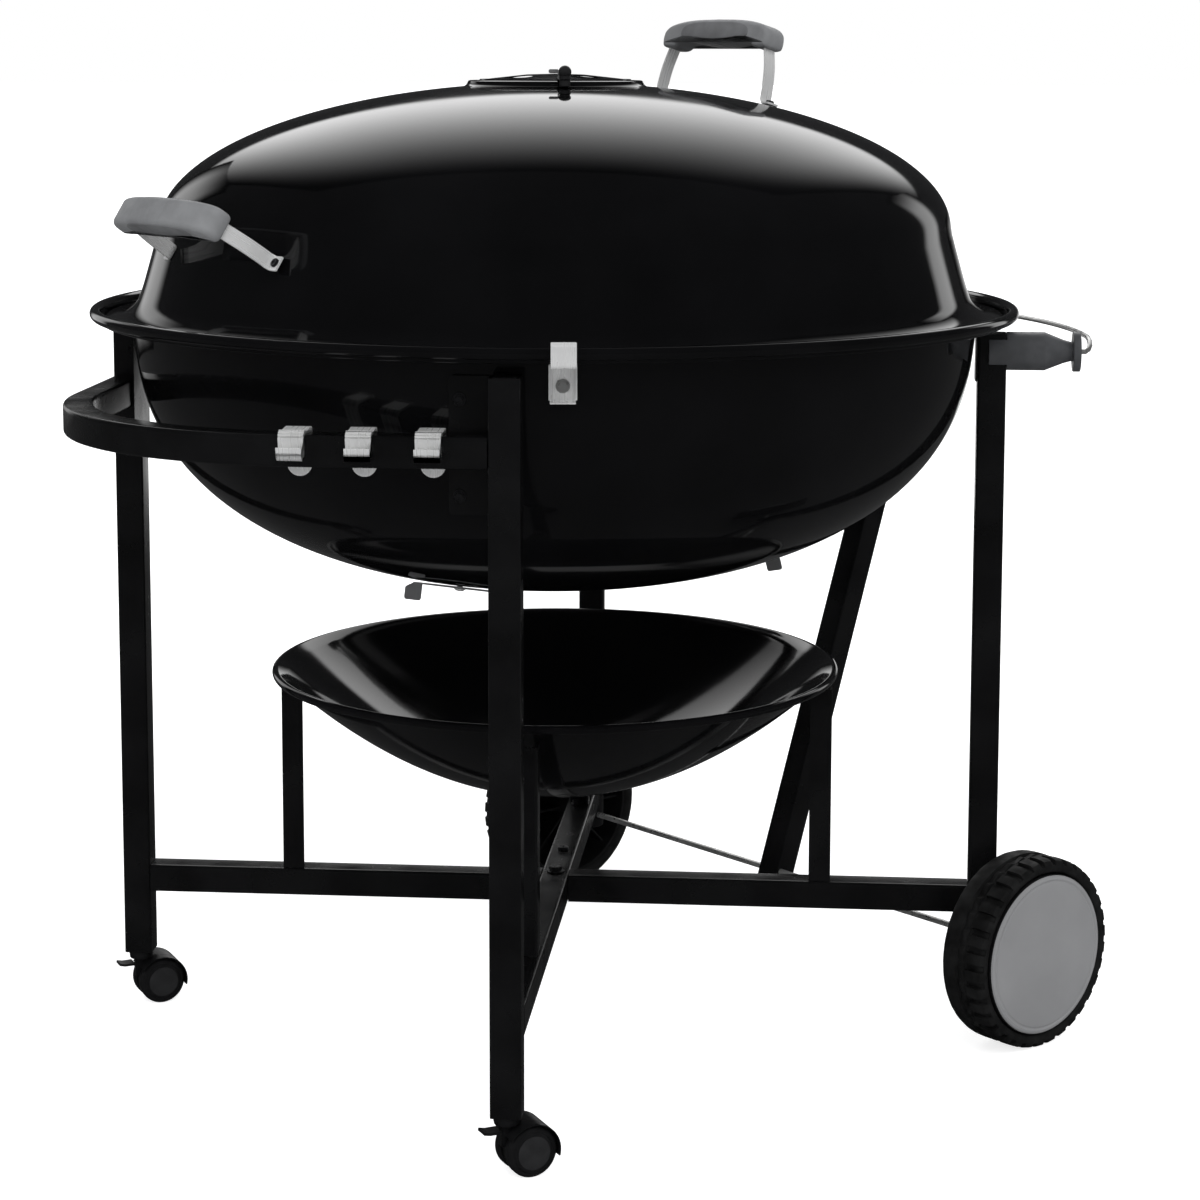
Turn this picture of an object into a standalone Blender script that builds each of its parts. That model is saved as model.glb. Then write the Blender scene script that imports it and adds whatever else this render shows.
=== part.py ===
"""Kettle charcoal grill on a four-leg wheeled frame.

Every dimension is in metres. Coordinates inside the functions are measured from the
kettle's own axis at floor level, with +X towards the leg that carries the right wheel,
+Y towards the leg at the back and +Z up. The assembly empty then moves the kettle's axis
so that the whole grill's footprint is centred on the world origin.
"""
import math

import bmesh
import bpy
from mathutils import Matrix, Vector

# Where the kettle's axis stands, measured from the middle of the grill's footprint
KETTLE_AXIS = Vector((-0.0535, -0.0523, 0.0))

# Square tubes of the frame
TUBE = 0.030
TUBE_WALL = 0.0015
TUBE_EDGE = 0.0025
LEG_RADIUS = 0.463
LEG_TOP = 0.757
CASTER_LEG_FOOT = 0.0597
WHEEL_LEG_FOOT = 0.128
BAR_BOTTOM = 0.130
GAP = 0.0003

# Kettle: rim, bowl, lid
RIM_RADIUS = 0.490
RIM_TOP = 0.786
BEAD = 0.006
SHELF_HEIGHT = 0.770
BOWL_RADIUS = 0.4450
BOWL_DEPTH = 0.297
BOWL_WIDTH_POWER = 2.22
BOWL_DEPTH_POWER = 2.50
STEEL = 0.0015
LID_STEEL = 0.0012
LID_CROWN_RADIUS = 0.418
LID_CROWN_RISE = 0.1524
LID_SHOULDER = 0.866
LID_LIP_RADIUS = 0.4735
LID_LIP = 0.7726
LID_BOSS_RADIUS = 0.092
LID_BOSS_TOP = 1.0205
ROUND_STEPS = 32

# Vents
VENT_DISC_RADIUS = 0.080
VENT_HOLE_RADIUS = 0.016
VENT_HOLE_CIRCLE = 0.050
VENT_KNOB_CIRCLE = 0.1035
VENT_KNOB_ANGLE = -79.0
VENT_KNOB_BALL = 0.0067
VENT_ARM_HALF = 0.0065
DAMPER_CIRCLE = 0.190
DAMPER_RADIUS = 0.048
DAMPER_HOLE_RADIUS = 0.0115
DAMPER_HOLE_CIRCLE = 0.028
DAMPER_ANGLES = {"left": -115.3, "right": 4.7, "back": 124.7}
DAMPER_TAB_TURN = {"left": 64.7, "right": 25.0, "back": 0.0}

# Grates; the cooking grate is small enough for its flaps to turn up under the closed lid
COOKING_GRATE_RADIUS = 0.426
COOKING_GRATE_HEIGHT = 0.757
GRATE_THICKNESS = 0.006
TAB_SIZE = (0.030, 0.020, 0.002)
TAB_OUTER_END = 0.4431
FLAP_CHORD = 0.250
FLAP_HINGE_HEIGHT = COOKING_GRATE_HEIGHT + GRATE_THICKNESS + 0.0004
CHARCOAL_GRATE_RADIUS = 0.318
CHARCOAL_GRATE_HEIGHT = 0.5605

# Ash catcher
ASH_RADIUS = 0.303
ASH_RIM = 0.392
ASH_DEPTH = 0.136
POST_CIRCLE = 0.288
POST_TOP = 0.3720
POST_FLANGE = 0.024
POST_STEEL = 0.002

# Wheels and axle
WHEEL_RADIUS = 0.102
WHEEL_INNER = 0.036
WHEEL_OUTER = 0.092
CAP_RADIUS = 0.0864
AXLE_RADIUS = 0.0035
AXLE_BORE = 0.0042
AXLE_DIRECTION = Vector((1.0, -1.0, 0.0)).normalized()

# Casters
CASTER_WHEEL_RADIUS = 0.025
CASTER_TRAIL = 0.019
CASTER_AXLE_ANGLE = -60.0
CASTER_HALF_WIDTH = 0.021
CASTER_GAP = 0.0056
CASTER_HOOD = 0.0270

# Tow handle
HANDLE_HEIGHT = 0.688
HANDLE_BEND = 0.283
HANDLE_BEND_STEPS = 16
HOOK_PLACES = (-0.194, -0.133, -0.069)
HOOK_WIDTH = 0.024
HOOK_BACK_END = -0.0200
BRACKET_STEEL = 0.002

# Lid rest: spools, wire, strut
SPOOL_HEIGHT = 0.7380
SPOOL_END = 0.5556
SPOOL_SLEEVE = 0.019
WIRE_RADIUS = 0.0028
WIRE_HEIGHT = 0.750
STRUT_RADIUS = 0.3357
STRUT_LEAN = 0.3447
STRUT_FOOT = 0.088
STRUT_TOP = 0.764

# Lid handles
GRIP_LENGTH = 0.170
GRIP_DEPTH = 0.030
GRIP_THICKNESS = 0.027
STRAP_WIDTH = 0.016
STRAP_STEEL = 0.002
STRAP_FOOT = 0.0825
STRAP_TOP = 0.0665
GRIP_STANDOFF = 0.068

BLACK_ENAMEL = ("black_enamel", (0.008, 0.008, 0.009), 0.08, 0.0)
BLACK_PAINT = ("black_paint", (0.012, 0.012, 0.013), 0.25, 0.0)
PLATED_STEEL = ("plated_steel", (0.62, 0.62, 0.61), 0.28, 1.0)
ALUMINIUM = ("aluminium", (0.70, 0.70, 0.70), 0.38, 1.0)
GREY_NYLON = ("grey_nylon", (0.25, 0.26, 0.27), 0.50, 0.0)
DARK_NYLON = ("dark_nylon", (0.07, 0.075, 0.08), 0.45, 0.0)
BLACK_PLASTIC = ("black_plastic", (0.015, 0.015, 0.016), 0.45, 0.0)
TYRE_RUBBER = ("tyre_rubber", (0.018, 0.018, 0.018), 0.75, 0.0)
CAP_GREY = ("cap_grey", (0.36, 0.37, 0.38), 0.45, 0.0)


def clear_scene():
    for old in list(bpy.data.objects):
        bpy.data.objects.remove(old, do_unlink=True)


def make_collection(name):
    collection = bpy.data.collections.new(name)
    bpy.context.scene.collection.children.link(collection)
    return collection


def get_material(spec):
    name, colour, roughness, metallic = spec
    material = bpy.data.materials.get(name)
    if material is None:
        material = bpy.data.materials.new(name)
        material.use_nodes = True
        shader = material.node_tree.nodes["Principled BSDF"]
        shader.inputs["Base Color"].default_value = (*colour, 1.0)
        shader.inputs["Roughness"].default_value = roughness
        shader.inputs["Metallic"].default_value = metallic
    return material


def place(obj, material, parent, location=(0, 0, 0), rotation=None):
    """Link an object to the grill, give it its material and put it where it belongs."""
    PARTS.objects.link(obj)
    obj.parent = parent
    obj.location = location
    if rotation is not None:
        obj.rotation_mode = "QUATERNION"
        obj.rotation_quaternion = rotation
    obj.data.materials.append(get_material(material))
    return obj


def empty(name, parent=None, location=(0, 0, 0), rotation=None):
    """A joint's axis or a group's origin, which the pieces that move with it are parented to."""
    obj = bpy.data.objects.new(name, None)
    PARTS.objects.link(obj)
    obj.parent = parent
    obj.location = location
    if rotation is not None:
        obj.rotation_mode = "QUATERNION"
        obj.rotation_quaternion = rotation
    return obj


def object_from_bmesh(name, bm):
    mesh = bpy.data.meshes.new(name)
    bm.to_mesh(mesh)
    bm.free()
    return bpy.data.objects.new(name, mesh)


def add_bevel(obj, width, segments=2):
    bevel = obj.modifiers.new("round_edges", "BEVEL")
    bevel.width = width
    bevel.segments = segments
    bevel.limit_method = "ANGLE"
    return obj


def add_thickness(obj, thickness):
    shell = obj.modifiers.new("sheet_thickness", "SOLIDIFY")
    shell.thickness = thickness
    shell.offset = -1.0
    shell.use_even_offset = True
    return obj


def add_boolean(obj, other, operation="DIFFERENCE"):
    cut = obj.modifiers.new(operation.lower(), "BOOLEAN")
    cut.operation = operation
    cut.object = other
    return obj


def turn_from_z(direction):
    """The rotation that lays a piece made along +Z along the given direction."""
    return Vector((0, 0, 1)).rotation_difference(Vector(direction))


def box(name, size, centre, material, parent, bevel=0.0, rotation=None):
    bm = bmesh.new()
    bmesh.ops.create_cube(bm, size=1.0)
    bmesh.ops.scale(bm, vec=size, verts=bm.verts)
    obj = place(object_from_bmesh(name, bm), material, parent, centre, rotation)
    if bevel > 0.0:
        add_bevel(obj, bevel)
    return obj


def square_tube(name, side, length, centre, direction, material, open_ends, turn=0.0):
    """A square tube along a direction; open_ends names which of its ends are open."""
    bm = bmesh.new()
    bmesh.ops.create_cube(bm, size=1.0)
    bmesh.ops.scale(bm, vec=(side, side, length), verts=bm.verts)
    bmesh.ops.rotate(bm, matrix=Matrix.Rotation(turn, 3, "Z"), verts=bm.verts)
    signs = [{"low": -1, "high": 1}[end] for end in open_ends]
    ends = [face for face in bm.faces if any(face.normal.z * sign > 0.9 for sign in signs)]
    bmesh.ops.delete(bm, geom=ends, context="FACES_ONLY")
    obj = place(object_from_bmesh(name, bm), material, GRILL, centre, turn_from_z(direction))
    add_bevel(obj, TUBE_EDGE)
    return add_thickness(obj, TUBE_WALL)


def turned(name, profile, material, parent, location=(0, 0, 0), direction=(0, 0, 1), steps=ROUND_STEPS,
           closed=False, thickness=0.0):
    """Turn a profile of (radius, height) points, listed top to bottom on its outer side."""
    mesh = bpy.data.meshes.new(name)
    count = len(profile)
    edges = [(i, i + 1) for i in range(count - 1)]
    if closed:
        edges.append((count - 1, 0))
    mesh.from_pydata([(radius, 0.0, height) for radius, height in profile], edges, [])
    obj = place(bpy.data.objects.new(name, mesh), material, parent, location, turn_from_z(direction))
    screw = obj.modifiers.new("turn", "SCREW")
    screw.steps = steps
    screw.render_steps = steps
    screw.use_merge_vertices = True
    screw.merge_threshold = 0.00005
    screw.use_smooth_shade = True
    if thickness > 0.0:
        add_thickness(obj, thickness)
    return obj


def flat_plate(name, outlines, thickness, material, parent, location=(0, 0, 0), rotation=None):
    """A flat plate from closed outlines of (x, y) points; the inner ones become holes."""
    curve = bpy.data.curves.new(name, "CURVE")
    curve.dimensions = "2D"
    curve.fill_mode = "BOTH"
    curve.extrude = thickness / 2
    for outline in outlines:
        spline = curve.splines.new("POLY")
        spline.points.add(len(outline) - 1)
        for point, (x, y) in zip(spline.points, outline):
            point.co = (x, y, 0.0, 1.0)
        spline.use_cyclic_u = True
    return place(bpy.data.objects.new(name, curve), material, parent, location, rotation)


def round_rod(name, points, radius, material, parent):
    curve = bpy.data.curves.new(name, "CURVE")
    curve.dimensions = "3D"
    curve.bevel_depth = radius
    curve.bevel_resolution = 2
    curve.use_fill_caps = True
    spline = curve.splines.new("POLY")
    spline.points.add(len(points) - 1)
    for point, position in zip(spline.points, points):
        point.co = (*position, 1.0)
    return place(bpy.data.objects.new(name, curve), material, parent)


def bent_strip(name, points, widths, thickness, material, parent, location, rotation):
    """A strip bent in its local XZ plane, as wide as given along its local Y."""
    obj = place(object_from_bmesh(name, strip_mesh(points, widths)), material, parent, location, rotation)
    return add_sheet(obj, thickness)


def strip_mesh(points, widths):
    """The middle surface of a bent strip: (x, z) points with one width, or a width for each."""
    if isinstance(widths, float):
        widths = [widths] * len(points)
    bm = bmesh.new()
    rows = []
    for (x, z), width in zip(points, widths):
        rows.append([bm.verts.new((x, -width / 2, z)), bm.verts.new((x, width / 2, z))])
    for (a, b), (c, d) in zip(rows, rows[1:]):
        bm.faces.new((a, b, d, c))
    return bm


def add_sheet(obj, thickness):
    """Thickness on both sides of a middle surface."""
    shell = obj.modifiers.new("sheet_thickness", "SOLIDIFY")
    shell.thickness = thickness
    shell.offset = 0.0
    shell.use_even_offset = True
    return obj


def cutter(name, cylinders, parent):
    """One hidden mesh of cylinders, each (centre, direction, radius, length, sides)."""
    bm = bmesh.new()
    for centre, direction, radius, length, sides in cylinders:
        turn = turn_from_z(direction).to_matrix().to_4x4()
        matrix = Matrix.Translation(centre) @ turn
        bmesh.ops.create_cone(bm, cap_ends=True, segments=sides, radius1=radius, radius2=radius,
                              depth=length, matrix=matrix)
    return hide_as_cutter(object_from_bmesh(name, bm), parent)


def hide_as_cutter(obj, parent):
    CUTTERS.objects.link(obj)
    obj.parent = parent
    obj.hide_render = True
    obj.display_type = "WIRE"
    return obj


def ring(radius, count, start=0.0):
    """Points evenly spaced round a circle."""
    angles = [start + 2 * math.pi * i / count for i in range(count)]
    return [(radius * math.cos(angle), radius * math.sin(angle)) for angle in angles]


def polar(radius, degrees, height=0.0):
    angle = math.radians(degrees)
    return Vector((radius * math.cos(angle), radius * math.sin(angle), height))


def bowl_point(share):
    """A point of the bowl's outer profile: share 0 is its top edge, 1 its lowest point."""
    angle = share * math.pi / 2
    radius = BOWL_RADIUS * math.cos(angle) ** (2 / BOWL_WIDTH_POWER) if share < 1 else 0.0
    return radius, RIM_TOP - BOWL_DEPTH * math.sin(angle) ** (2 / BOWL_DEPTH_POWER)


def bowl_height(radius):
    """Height of the bowl's outer surface at a radius."""
    inside = 1 - (radius / BOWL_RADIUS) ** BOWL_WIDTH_POWER
    return RIM_TOP - BOWL_DEPTH * inside ** (1 / BOWL_DEPTH_POWER)


def bowl_normal(radius, degrees):
    """Outward normal of the bowl's underside at a radius and an angle."""
    step = 0.001
    slope = (bowl_height(radius + step) - bowl_height(radius - step)) / (2 * step)
    outward = polar(1.0, degrees)
    return (outward * slope - Vector((0, 0, 1))).normalized()


def lid_height(radius):
    """Height of the lid's crown at a radius."""
    return LID_SHOULDER + LID_CROWN_RISE * math.sqrt(1 - (radius / LID_CROWN_RADIUS) ** 2)


def make_bowl():
    bead_centre = (RIM_RADIUS - BEAD, RIM_TOP - BEAD)
    riser = RIM_RADIUS - 2 * BEAD
    curl = []
    for degrees in (-50, 0, 45, 90, 135):
        angle = math.radians(degrees)
        radius = BEAD - STEEL
        curl.append((bead_centre[0] + radius * math.cos(angle), bead_centre[1] + radius * math.sin(angle)))
    shelf = [(riser + STEEL, bead_centre[1]), (riser + STEEL, SHELF_HEIGHT), (BOWL_RADIUS, SHELF_HEIGHT)]
    wall = [bowl_point(share) for share in (0.05, 0.15, 0.26, 0.38, 0.51, 0.66, 0.82, 1.0)]
    bowl = turned("bowl", curl + shelf + wall, BLACK_ENAMEL, GRILL, thickness=STEEL)
    holes = []
    for degrees in DAMPER_ANGLES.values():
        centre = polar(DAMPER_CIRCLE, degrees, bowl_height(DAMPER_CIRCLE))
        normal = bowl_normal(DAMPER_CIRCLE, degrees)
        turn = turn_from_z(normal)
        for x, y in ring(DAMPER_HOLE_CIRCLE, 4, math.radians(45)):
            holes.append((centre + turn @ Vector((x, y, 0)), normal, DAMPER_HOLE_RADIUS, 0.030, 10))
        holes.append((centre, normal, 0.0036, 0.030, 10))
    add_boolean(bowl, cutter("bowl_vent_holes", holes, GRILL))
    tabs = bmesh.new()
    for degrees in (45, 135, 225, 315):
        middle = (TAB_OUTER_END - TAB_SIZE[0] / 2, 0, COOKING_GRATE_HEIGHT - GAP - TAB_SIZE[2] / 2)
        matrix = Matrix.Rotation(math.radians(degrees), 4, "Z") @ Matrix.Translation(middle)
        made = bmesh.ops.create_cube(tabs, size=1.0)
        bmesh.ops.scale(tabs, vec=TAB_SIZE, verts=made["verts"])
        bmesh.ops.transform(tabs, matrix=matrix, verts=made["verts"])
    add_boolean(bowl, hide_as_cutter(object_from_bmesh("welded_grate_tabs", tabs), GRILL), "UNION")


def make_lid():
    crown = []
    for degrees in (17, 29, 41, 53, 65, 77, 90):
        radius = LID_CROWN_RADIUS * math.sin(math.radians(degrees))
        crown.append((radius, lid_height(radius)))
    flare = [(0.4265, 0.835), (0.436, 0.803), (0.4425, 0.789), (0.455, 0.7795), (0.4705, 0.7768)]
    boss = [(0.0, LID_BOSS_TOP), (LID_BOSS_RADIUS - 0.003, LID_BOSS_TOP)]
    profile = boss + crown + flare + [(LID_LIP_RADIUS, LID_LIP)]
    lid = turned("lid", profile, BLACK_ENAMEL, LID, thickness=LID_STEEL)
    holes = []
    for x, y in ring(VENT_HOLE_CIRCLE, 4, math.radians(45)):
        holes.append((Vector((x, y, LID_BOSS_TOP)), (0, 0, 1), VENT_HOLE_RADIUS - 0.001, 0.020, 12))
    add_boolean(lid, cutter("lid_vent_holes", holes, LID))


def disc_with_holes(name, edge, hole_radius, hole_circle, thickness, material, parent, **where):
    outlines = [edge]
    for x, y in ring(hole_circle, 4, math.radians(45)):
        outlines.append([(x + px, y + py) for px, py in ring(hole_radius, 12)])
    return flat_plate(name, outlines, thickness, material, parent, **where)


def vent_edge():
    """The vent disc's round edge, with the arm that reaches out to the knob."""
    knob = polar(VENT_KNOB_CIRCLE, VENT_KNOB_ANGLE)
    half = math.degrees(math.asin(VENT_ARM_HALF / VENT_DISC_RADIUS))
    edge = []
    for i in range(33):
        edge.append(polar(VENT_DISC_RADIUS, VENT_KNOB_ANGLE + half + (360 - 2 * half) * i / 32))
    for i in range(7):
        edge.append(knob + polar(VENT_ARM_HALF, VENT_KNOB_ANGLE - 90 + 30 * i))
    return [(p.x, p.y) for p in edge]


def make_lid_vent():
    """The turning disc on top of the lid and the ball knob pinned through its arm."""
    height = LID_BOSS_TOP + 0.0015
    disc = disc_with_holes("lid_vent_disc", vent_edge(), VENT_HOLE_RADIUS, VENT_HOLE_CIRCLE, 0.0016,
                           BLACK_ENAMEL, VENT, location=(0, 0, height))
    knob = polar(VENT_KNOB_CIRCLE, VENT_KNOB_ANGLE)
    pin_hole = [(knob + Vector((0, 0, height)), (0, 0, 1), 0.0034, 0.02, 12)]
    add_boolean(as_mesh(disc), cutter("vent_pin_hole", pin_hole, VENT))
    top, under = height + 0.0008 + GAP, height - 0.0008 - GAP
    centre = top + VENT_KNOB_BALL
    profile = [(0.0, centre + VENT_KNOB_BALL)]
    for degrees in (60, 30, 0, -30, -55):
        angle = math.radians(degrees)
        profile.append((VENT_KNOB_BALL * math.cos(angle), centre + VENT_KNOB_BALL * math.sin(angle)))
    profile += [(0.0046, top), (0.0030, top), (0.0030, under), (0.0060, under), (0.0060, under - 0.0017),
                (0.0, under - 0.0017)]
    turned("lid_vent_knob", profile, BLACK_PLASTIC, VENT, knob, steps=16)


def make_damper(side, degrees):
    """An aluminium disc under the bowl that turns on a rivet, with a finger tab folded down at its edge."""
    normal = bowl_normal(DAMPER_CIRCLE, degrees)
    centre = polar(DAMPER_CIRCLE, degrees, bowl_height(DAMPER_CIRCLE))
    pivot = empty(f"{side}_damper_pivot", GRILL, centre, turn_from_z(normal))
    outward = pivot.rotation_quaternion.inverted() @ polar(1.0, degrees)
    tab_angle = math.atan2(outward.y, outward.x) + math.radians(DAMPER_TAB_TURN[side])
    damper = disc_with_holes(f"bottom_damper_{side}", ring(DAMPER_RADIUS, 32), DAMPER_HOLE_RADIUS,
                             DAMPER_HOLE_CIRCLE, 0.0016, ALUMINIUM, pivot, location=(0, 0, 0.0016))
    rivet_hole = [(Vector((0, 0, 0.0016)), (0, 0, 1), 0.0036, 0.02, 12)]
    centre_hole = cutter(f"{side}_rivet_hole", rivet_hole, pivot)
    damper = as_mesh(damper)
    tab = bmesh.new()
    bmesh.ops.create_cube(tab, size=1.0)
    bmesh.ops.scale(tab, vec=(0.0175, 0.0016, 0.0185), verts=tab.verts)
    offset = Matrix.Translation((DAMPER_RADIUS - 0.00075, 0, 0.0100))
    bmesh.ops.transform(tab, matrix=Matrix.Rotation(tab_angle, 4, "Z") @ offset, verts=tab.verts)
    add_boolean(damper, hide_as_cutter(object_from_bmesh(f"{side}_damper_tab", tab), pivot), "UNION")
    add_boolean(damper, centre_hole)
    head = 0.0024 + GAP
    profile = [(0.0, head + 0.0022), (0.0045, head + 0.0018), (0.0062, head), (0.0029, head),
               (0.0029, -0.0045), (0.0062, -0.0045), (0.0050, -0.0063), (0.0, -0.0065)]
    turned(f"damper_rivet_{side}", profile, PLATED_STEEL, pivot, steps=16)


def as_mesh(curve_object):
    """Swap a curve object for the same shape as a welded mesh, so that it can be cut."""
    bpy.context.view_layer.update()
    graph = bpy.context.evaluated_depsgraph_get()
    mesh = bpy.data.meshes.new_from_object(curve_object.evaluated_get(graph))
    bm = bmesh.new()
    bm.from_mesh(mesh)
    bmesh.ops.remove_doubles(bm, verts=bm.verts, dist=0.00002)
    bm.to_mesh(mesh)
    bm.free()
    name, parent = curve_object.name, curve_object.parent
    matrix, local = curve_object.matrix_world.copy(), curve_object.matrix_local.copy()
    bpy.data.objects.remove(curve_object, do_unlink=True)
    obj = bpy.data.objects.new(name, mesh)
    PARTS.objects.link(obj)
    obj.parent = parent
    obj.matrix_local = local
    obj.matrix_world = matrix
    return obj


def chord_arc(radius, chord, low_first):
    """Points of the arc between two parallel chords at x = -chord and x = +chord."""
    start = math.acos(chord / radius)
    steps = 8
    angles = [start + (math.pi - 2 * start) * i / steps for i in range(steps + 1)]
    sign = -1 if low_first else 1
    points = [(radius * math.cos(angle), sign * radius * math.sin(angle)) for angle in angles]
    return points[::-1] if low_first else points


def slots_between(radius, first, last, count, width, margin):
    """Straight slots along Y, split in the middle, across the x range of a round grate."""
    outlines = []
    for i in range(count):
        x = first + (last - first) * i / (count - 1)
        reach = math.sqrt((radius - margin) ** 2 - (abs(x) + width / 2) ** 2)
        low, high = x - width / 2, x + width / 2
        for near, far in ((0.006, reach), (-reach, -0.006)):
            outlines.append([(low, near), (high, near), (high, far), (low, far)])
    return outlines


def make_grates():
    height = COOKING_GRATE_HEIGHT + GRATE_THICKNESS / 2
    chord = FLAP_CHORD - 0.001
    middle = chord_arc(COOKING_GRATE_RADIUS, chord, False) + chord_arc(COOKING_GRATE_RADIUS, chord, True)
    slots = slots_between(COOKING_GRATE_RADIUS, -0.225, 0.225, 11, 0.026, 0.012)
    flat_plate("cooking_grate", [middle] + slots, GRATE_THICKNESS, PLATED_STEEL, GRILL, (0, 0, height))
    start = math.acos((FLAP_CHORD + 0.001) / COOKING_GRATE_RADIUS)
    angles = [start - 2 * start * i / 12 for i in range(13)]
    outline = [(COOKING_GRATE_RADIUS * math.cos(a), COOKING_GRATE_RADIUS * math.sin(a)) for a in angles]
    slots = slots_between(COOKING_GRATE_RADIUS, 0.274, 0.385, 4, 0.022, 0.012)
    from_hinge = [[(x - FLAP_CHORD, y) for x, y in points] for points in [outline] + slots]
    for side, turn in (("left", math.pi), ("right", 0.0)):
        hinge = empty(f"{side}_flap_hinge", GRILL, polar(FLAP_CHORD, math.degrees(turn), FLAP_HINGE_HEIGHT))
        rotation = Matrix.Rotation(turn, 3, "Z").to_quaternion()
        flat_plate(f"grate_flap_{side}", from_hinge, GRATE_THICKNESS, PLATED_STEEL, hinge,
                   (0, 0, height - FLAP_HINGE_HEIGHT), rotation)
    height = CHARCOAL_GRATE_HEIGHT + 0.004
    slots = slots_between(CHARCOAL_GRATE_RADIUS, -0.280, 0.280, 11, 0.032, 0.012)
    rotation = Matrix.Rotation(math.pi / 2, 3, "Z").to_quaternion()
    flat_plate("charcoal_grate", [ring(CHARCOAL_GRATE_RADIUS, 36)] + slots, 0.008, PLATED_STEEL, GRILL,
               (0, 0, height), rotation)


def make_frame():
    middle = BAR_BOTTOM + TUBE / 2
    feet = {"left": (180, CASTER_LEG_FOOT), "front": (-90, CASTER_LEG_FOOT),
            "right": (0, WHEEL_LEG_FOOT), "back": (90, WHEEL_LEG_FOOT)}
    for side, (degrees, foot) in feet.items():
        centre = polar(LEG_RADIUS, degrees, (foot + LEG_TOP) / 2)
        square_tube(f"leg_{side}", TUBE, LEG_TOP - foot, centre, (0, 0, 1), BLACK_PAINT, ["low"])
    reach = LEG_RADIUS - TUBE / 2 - GAP
    both_ends = ["low", "high"]
    square_tube("crossbar_front_back", TUBE, 2 * reach, (0, 0, middle), (0, 1, 0), BLACK_PAINT, both_ends)
    inner = TUBE / 2 + GAP
    for side, sign in (("left", -1), ("right", 1)):
        centre = (sign * (reach + inner) / 2, 0, middle)
        square_tube(f"crossbar_{side}", TUBE, reach - inner, centre, (1, 0, 0), BLACK_PAINT, both_ends)
    top = BAR_BOTTOM + TUBE + GAP
    profile = [(0.0, top + 0.0055), (0.006, top + 0.0048), (0.0085, top + 0.0014), (0.0105, top + 0.0013),
               (0.0105, top), (0.0, top)]
    turned("centre_bolt", profile, BLACK_PAINT, GRILL, steps=20)


def make_ash_posts():
    half = POST_FLANGE / 2
    inner = POST_STEEL - half
    outline = [(-half, -half), (half, -half), (half, inner), (inner, inner), (inner, half), (-half, half)]
    foot = BAR_BOTTOM + TUBE + GAP
    turns = {"left": (180, 0), "front": (-90, 90), "right": (0, 90), "back": (90, 180)}
    for side, (degrees, turn) in turns.items():
        centre = polar(POST_CIRCLE, degrees, (foot + POST_TOP) / 2)
        rotation = Matrix.Rotation(math.radians(turn), 3, "Z").to_quaternion()
        flat_plate(f"ash_post_{side}", [outline], POST_TOP - foot, BLACK_PAINT, GRILL, centre, rotation)


def make_ash_catcher():
    inner = ASH_RADIUS - 0.006
    profile = [(ASH_RADIUS, ASH_RIM - 0.006), (ASH_RADIUS, ASH_RIM - 0.002), (ASH_RADIUS - 0.003, ASH_RIM)]
    shares = (1.0, 0.84, 0.67, 0.50, 0.33, 0.16, 0.0)
    profile += [(inner * share, ASH_RIM - 0.002 - ASH_DEPTH * (1 - share ** 2)) for share in shares]
    turned("ash_catcher", profile, BLACK_ENAMEL, ASH, thickness=LID_STEEL)


def make_axle():
    end = Vector((LEG_RADIUS, 0, WHEEL_RADIUS)) + AXLE_DIRECTION * 0.086
    other = Vector((0, LEG_RADIUS, WHEEL_RADIUS)) - AXLE_DIRECTION * 0.086
    middle = (end + other) / 2
    half = (end - other).length / 2
    turned("axle", [(0, half), (AXLE_RADIUS, half), (AXLE_RADIUS, -half), (0, -half)], PLATED_STEEL, GRILL,
           middle, AXLE_DIRECTION, 12)
    for side, centre in (("right", (LEG_RADIUS, 0, 0)), ("back", (0, LEG_RADIUS, 0))):
        top = WHEEL_LEG_FOOT - GAP
        profile = [(0, top), (0.0148, top), (0.0148, 0.090), (0.012, 0.086), (0, 0.086)]
        block = turned(f"axle_block_{side}", profile, BLACK_PLASTIC, GRILL, centre, steps=20)
        hole = [(Vector((*centre[:2], WHEEL_RADIUS)), AXLE_DIRECTION, AXLE_BORE, 0.05, 12)]
        add_boolean(block, cutter(f"{side}_axle_hole", hole, GRILL))


def make_wheel(side, leg, direction):
    """A plastic wheel with a closed face and a rubber tyre, turning on the axle's end."""
    hub_axis = empty(f"{side}_wheel_axis", GRILL, (*leg, WHEEL_RADIUS), turn_from_z(direction))
    inner, outer = WHEEL_INNER, WHEEL_OUTER
    tyre = [(CAP_RADIUS + GAP, outer - 0.003), (CAP_RADIUS + 0.004, outer), (WHEEL_RADIUS - 0.004, outer),
            (WHEEL_RADIUS, outer - 0.005), (WHEEL_RADIUS, inner + 0.005), (WHEEL_RADIUS - 0.004, inner),
            (CAP_RADIUS + GAP, inner)]
    turned(f"tyre_{side}", tyre, TYRE_RUBBER, hub_axis, steps=32, closed=True)
    face = outer + 0.005
    boss = 0.014
    hub = [(0, face), (0.045, face - 0.0006), (0.078, face - 0.003), (CAP_RADIUS, face - 0.006),
           (CAP_RADIUS, inner + 0.001), (CAP_RADIUS - 0.004, inner + 0.001),
           (CAP_RADIUS - 0.006, outer - 0.010), (boss, outer - 0.010), (boss, inner - 0.004),
           (AXLE_BORE, inner - 0.004), (AXLE_BORE, outer - 0.003), (0, outer - 0.003)]
    turned(f"wheel_{side}", hub, CAP_GREY, hub_axis, steps=32)


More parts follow.
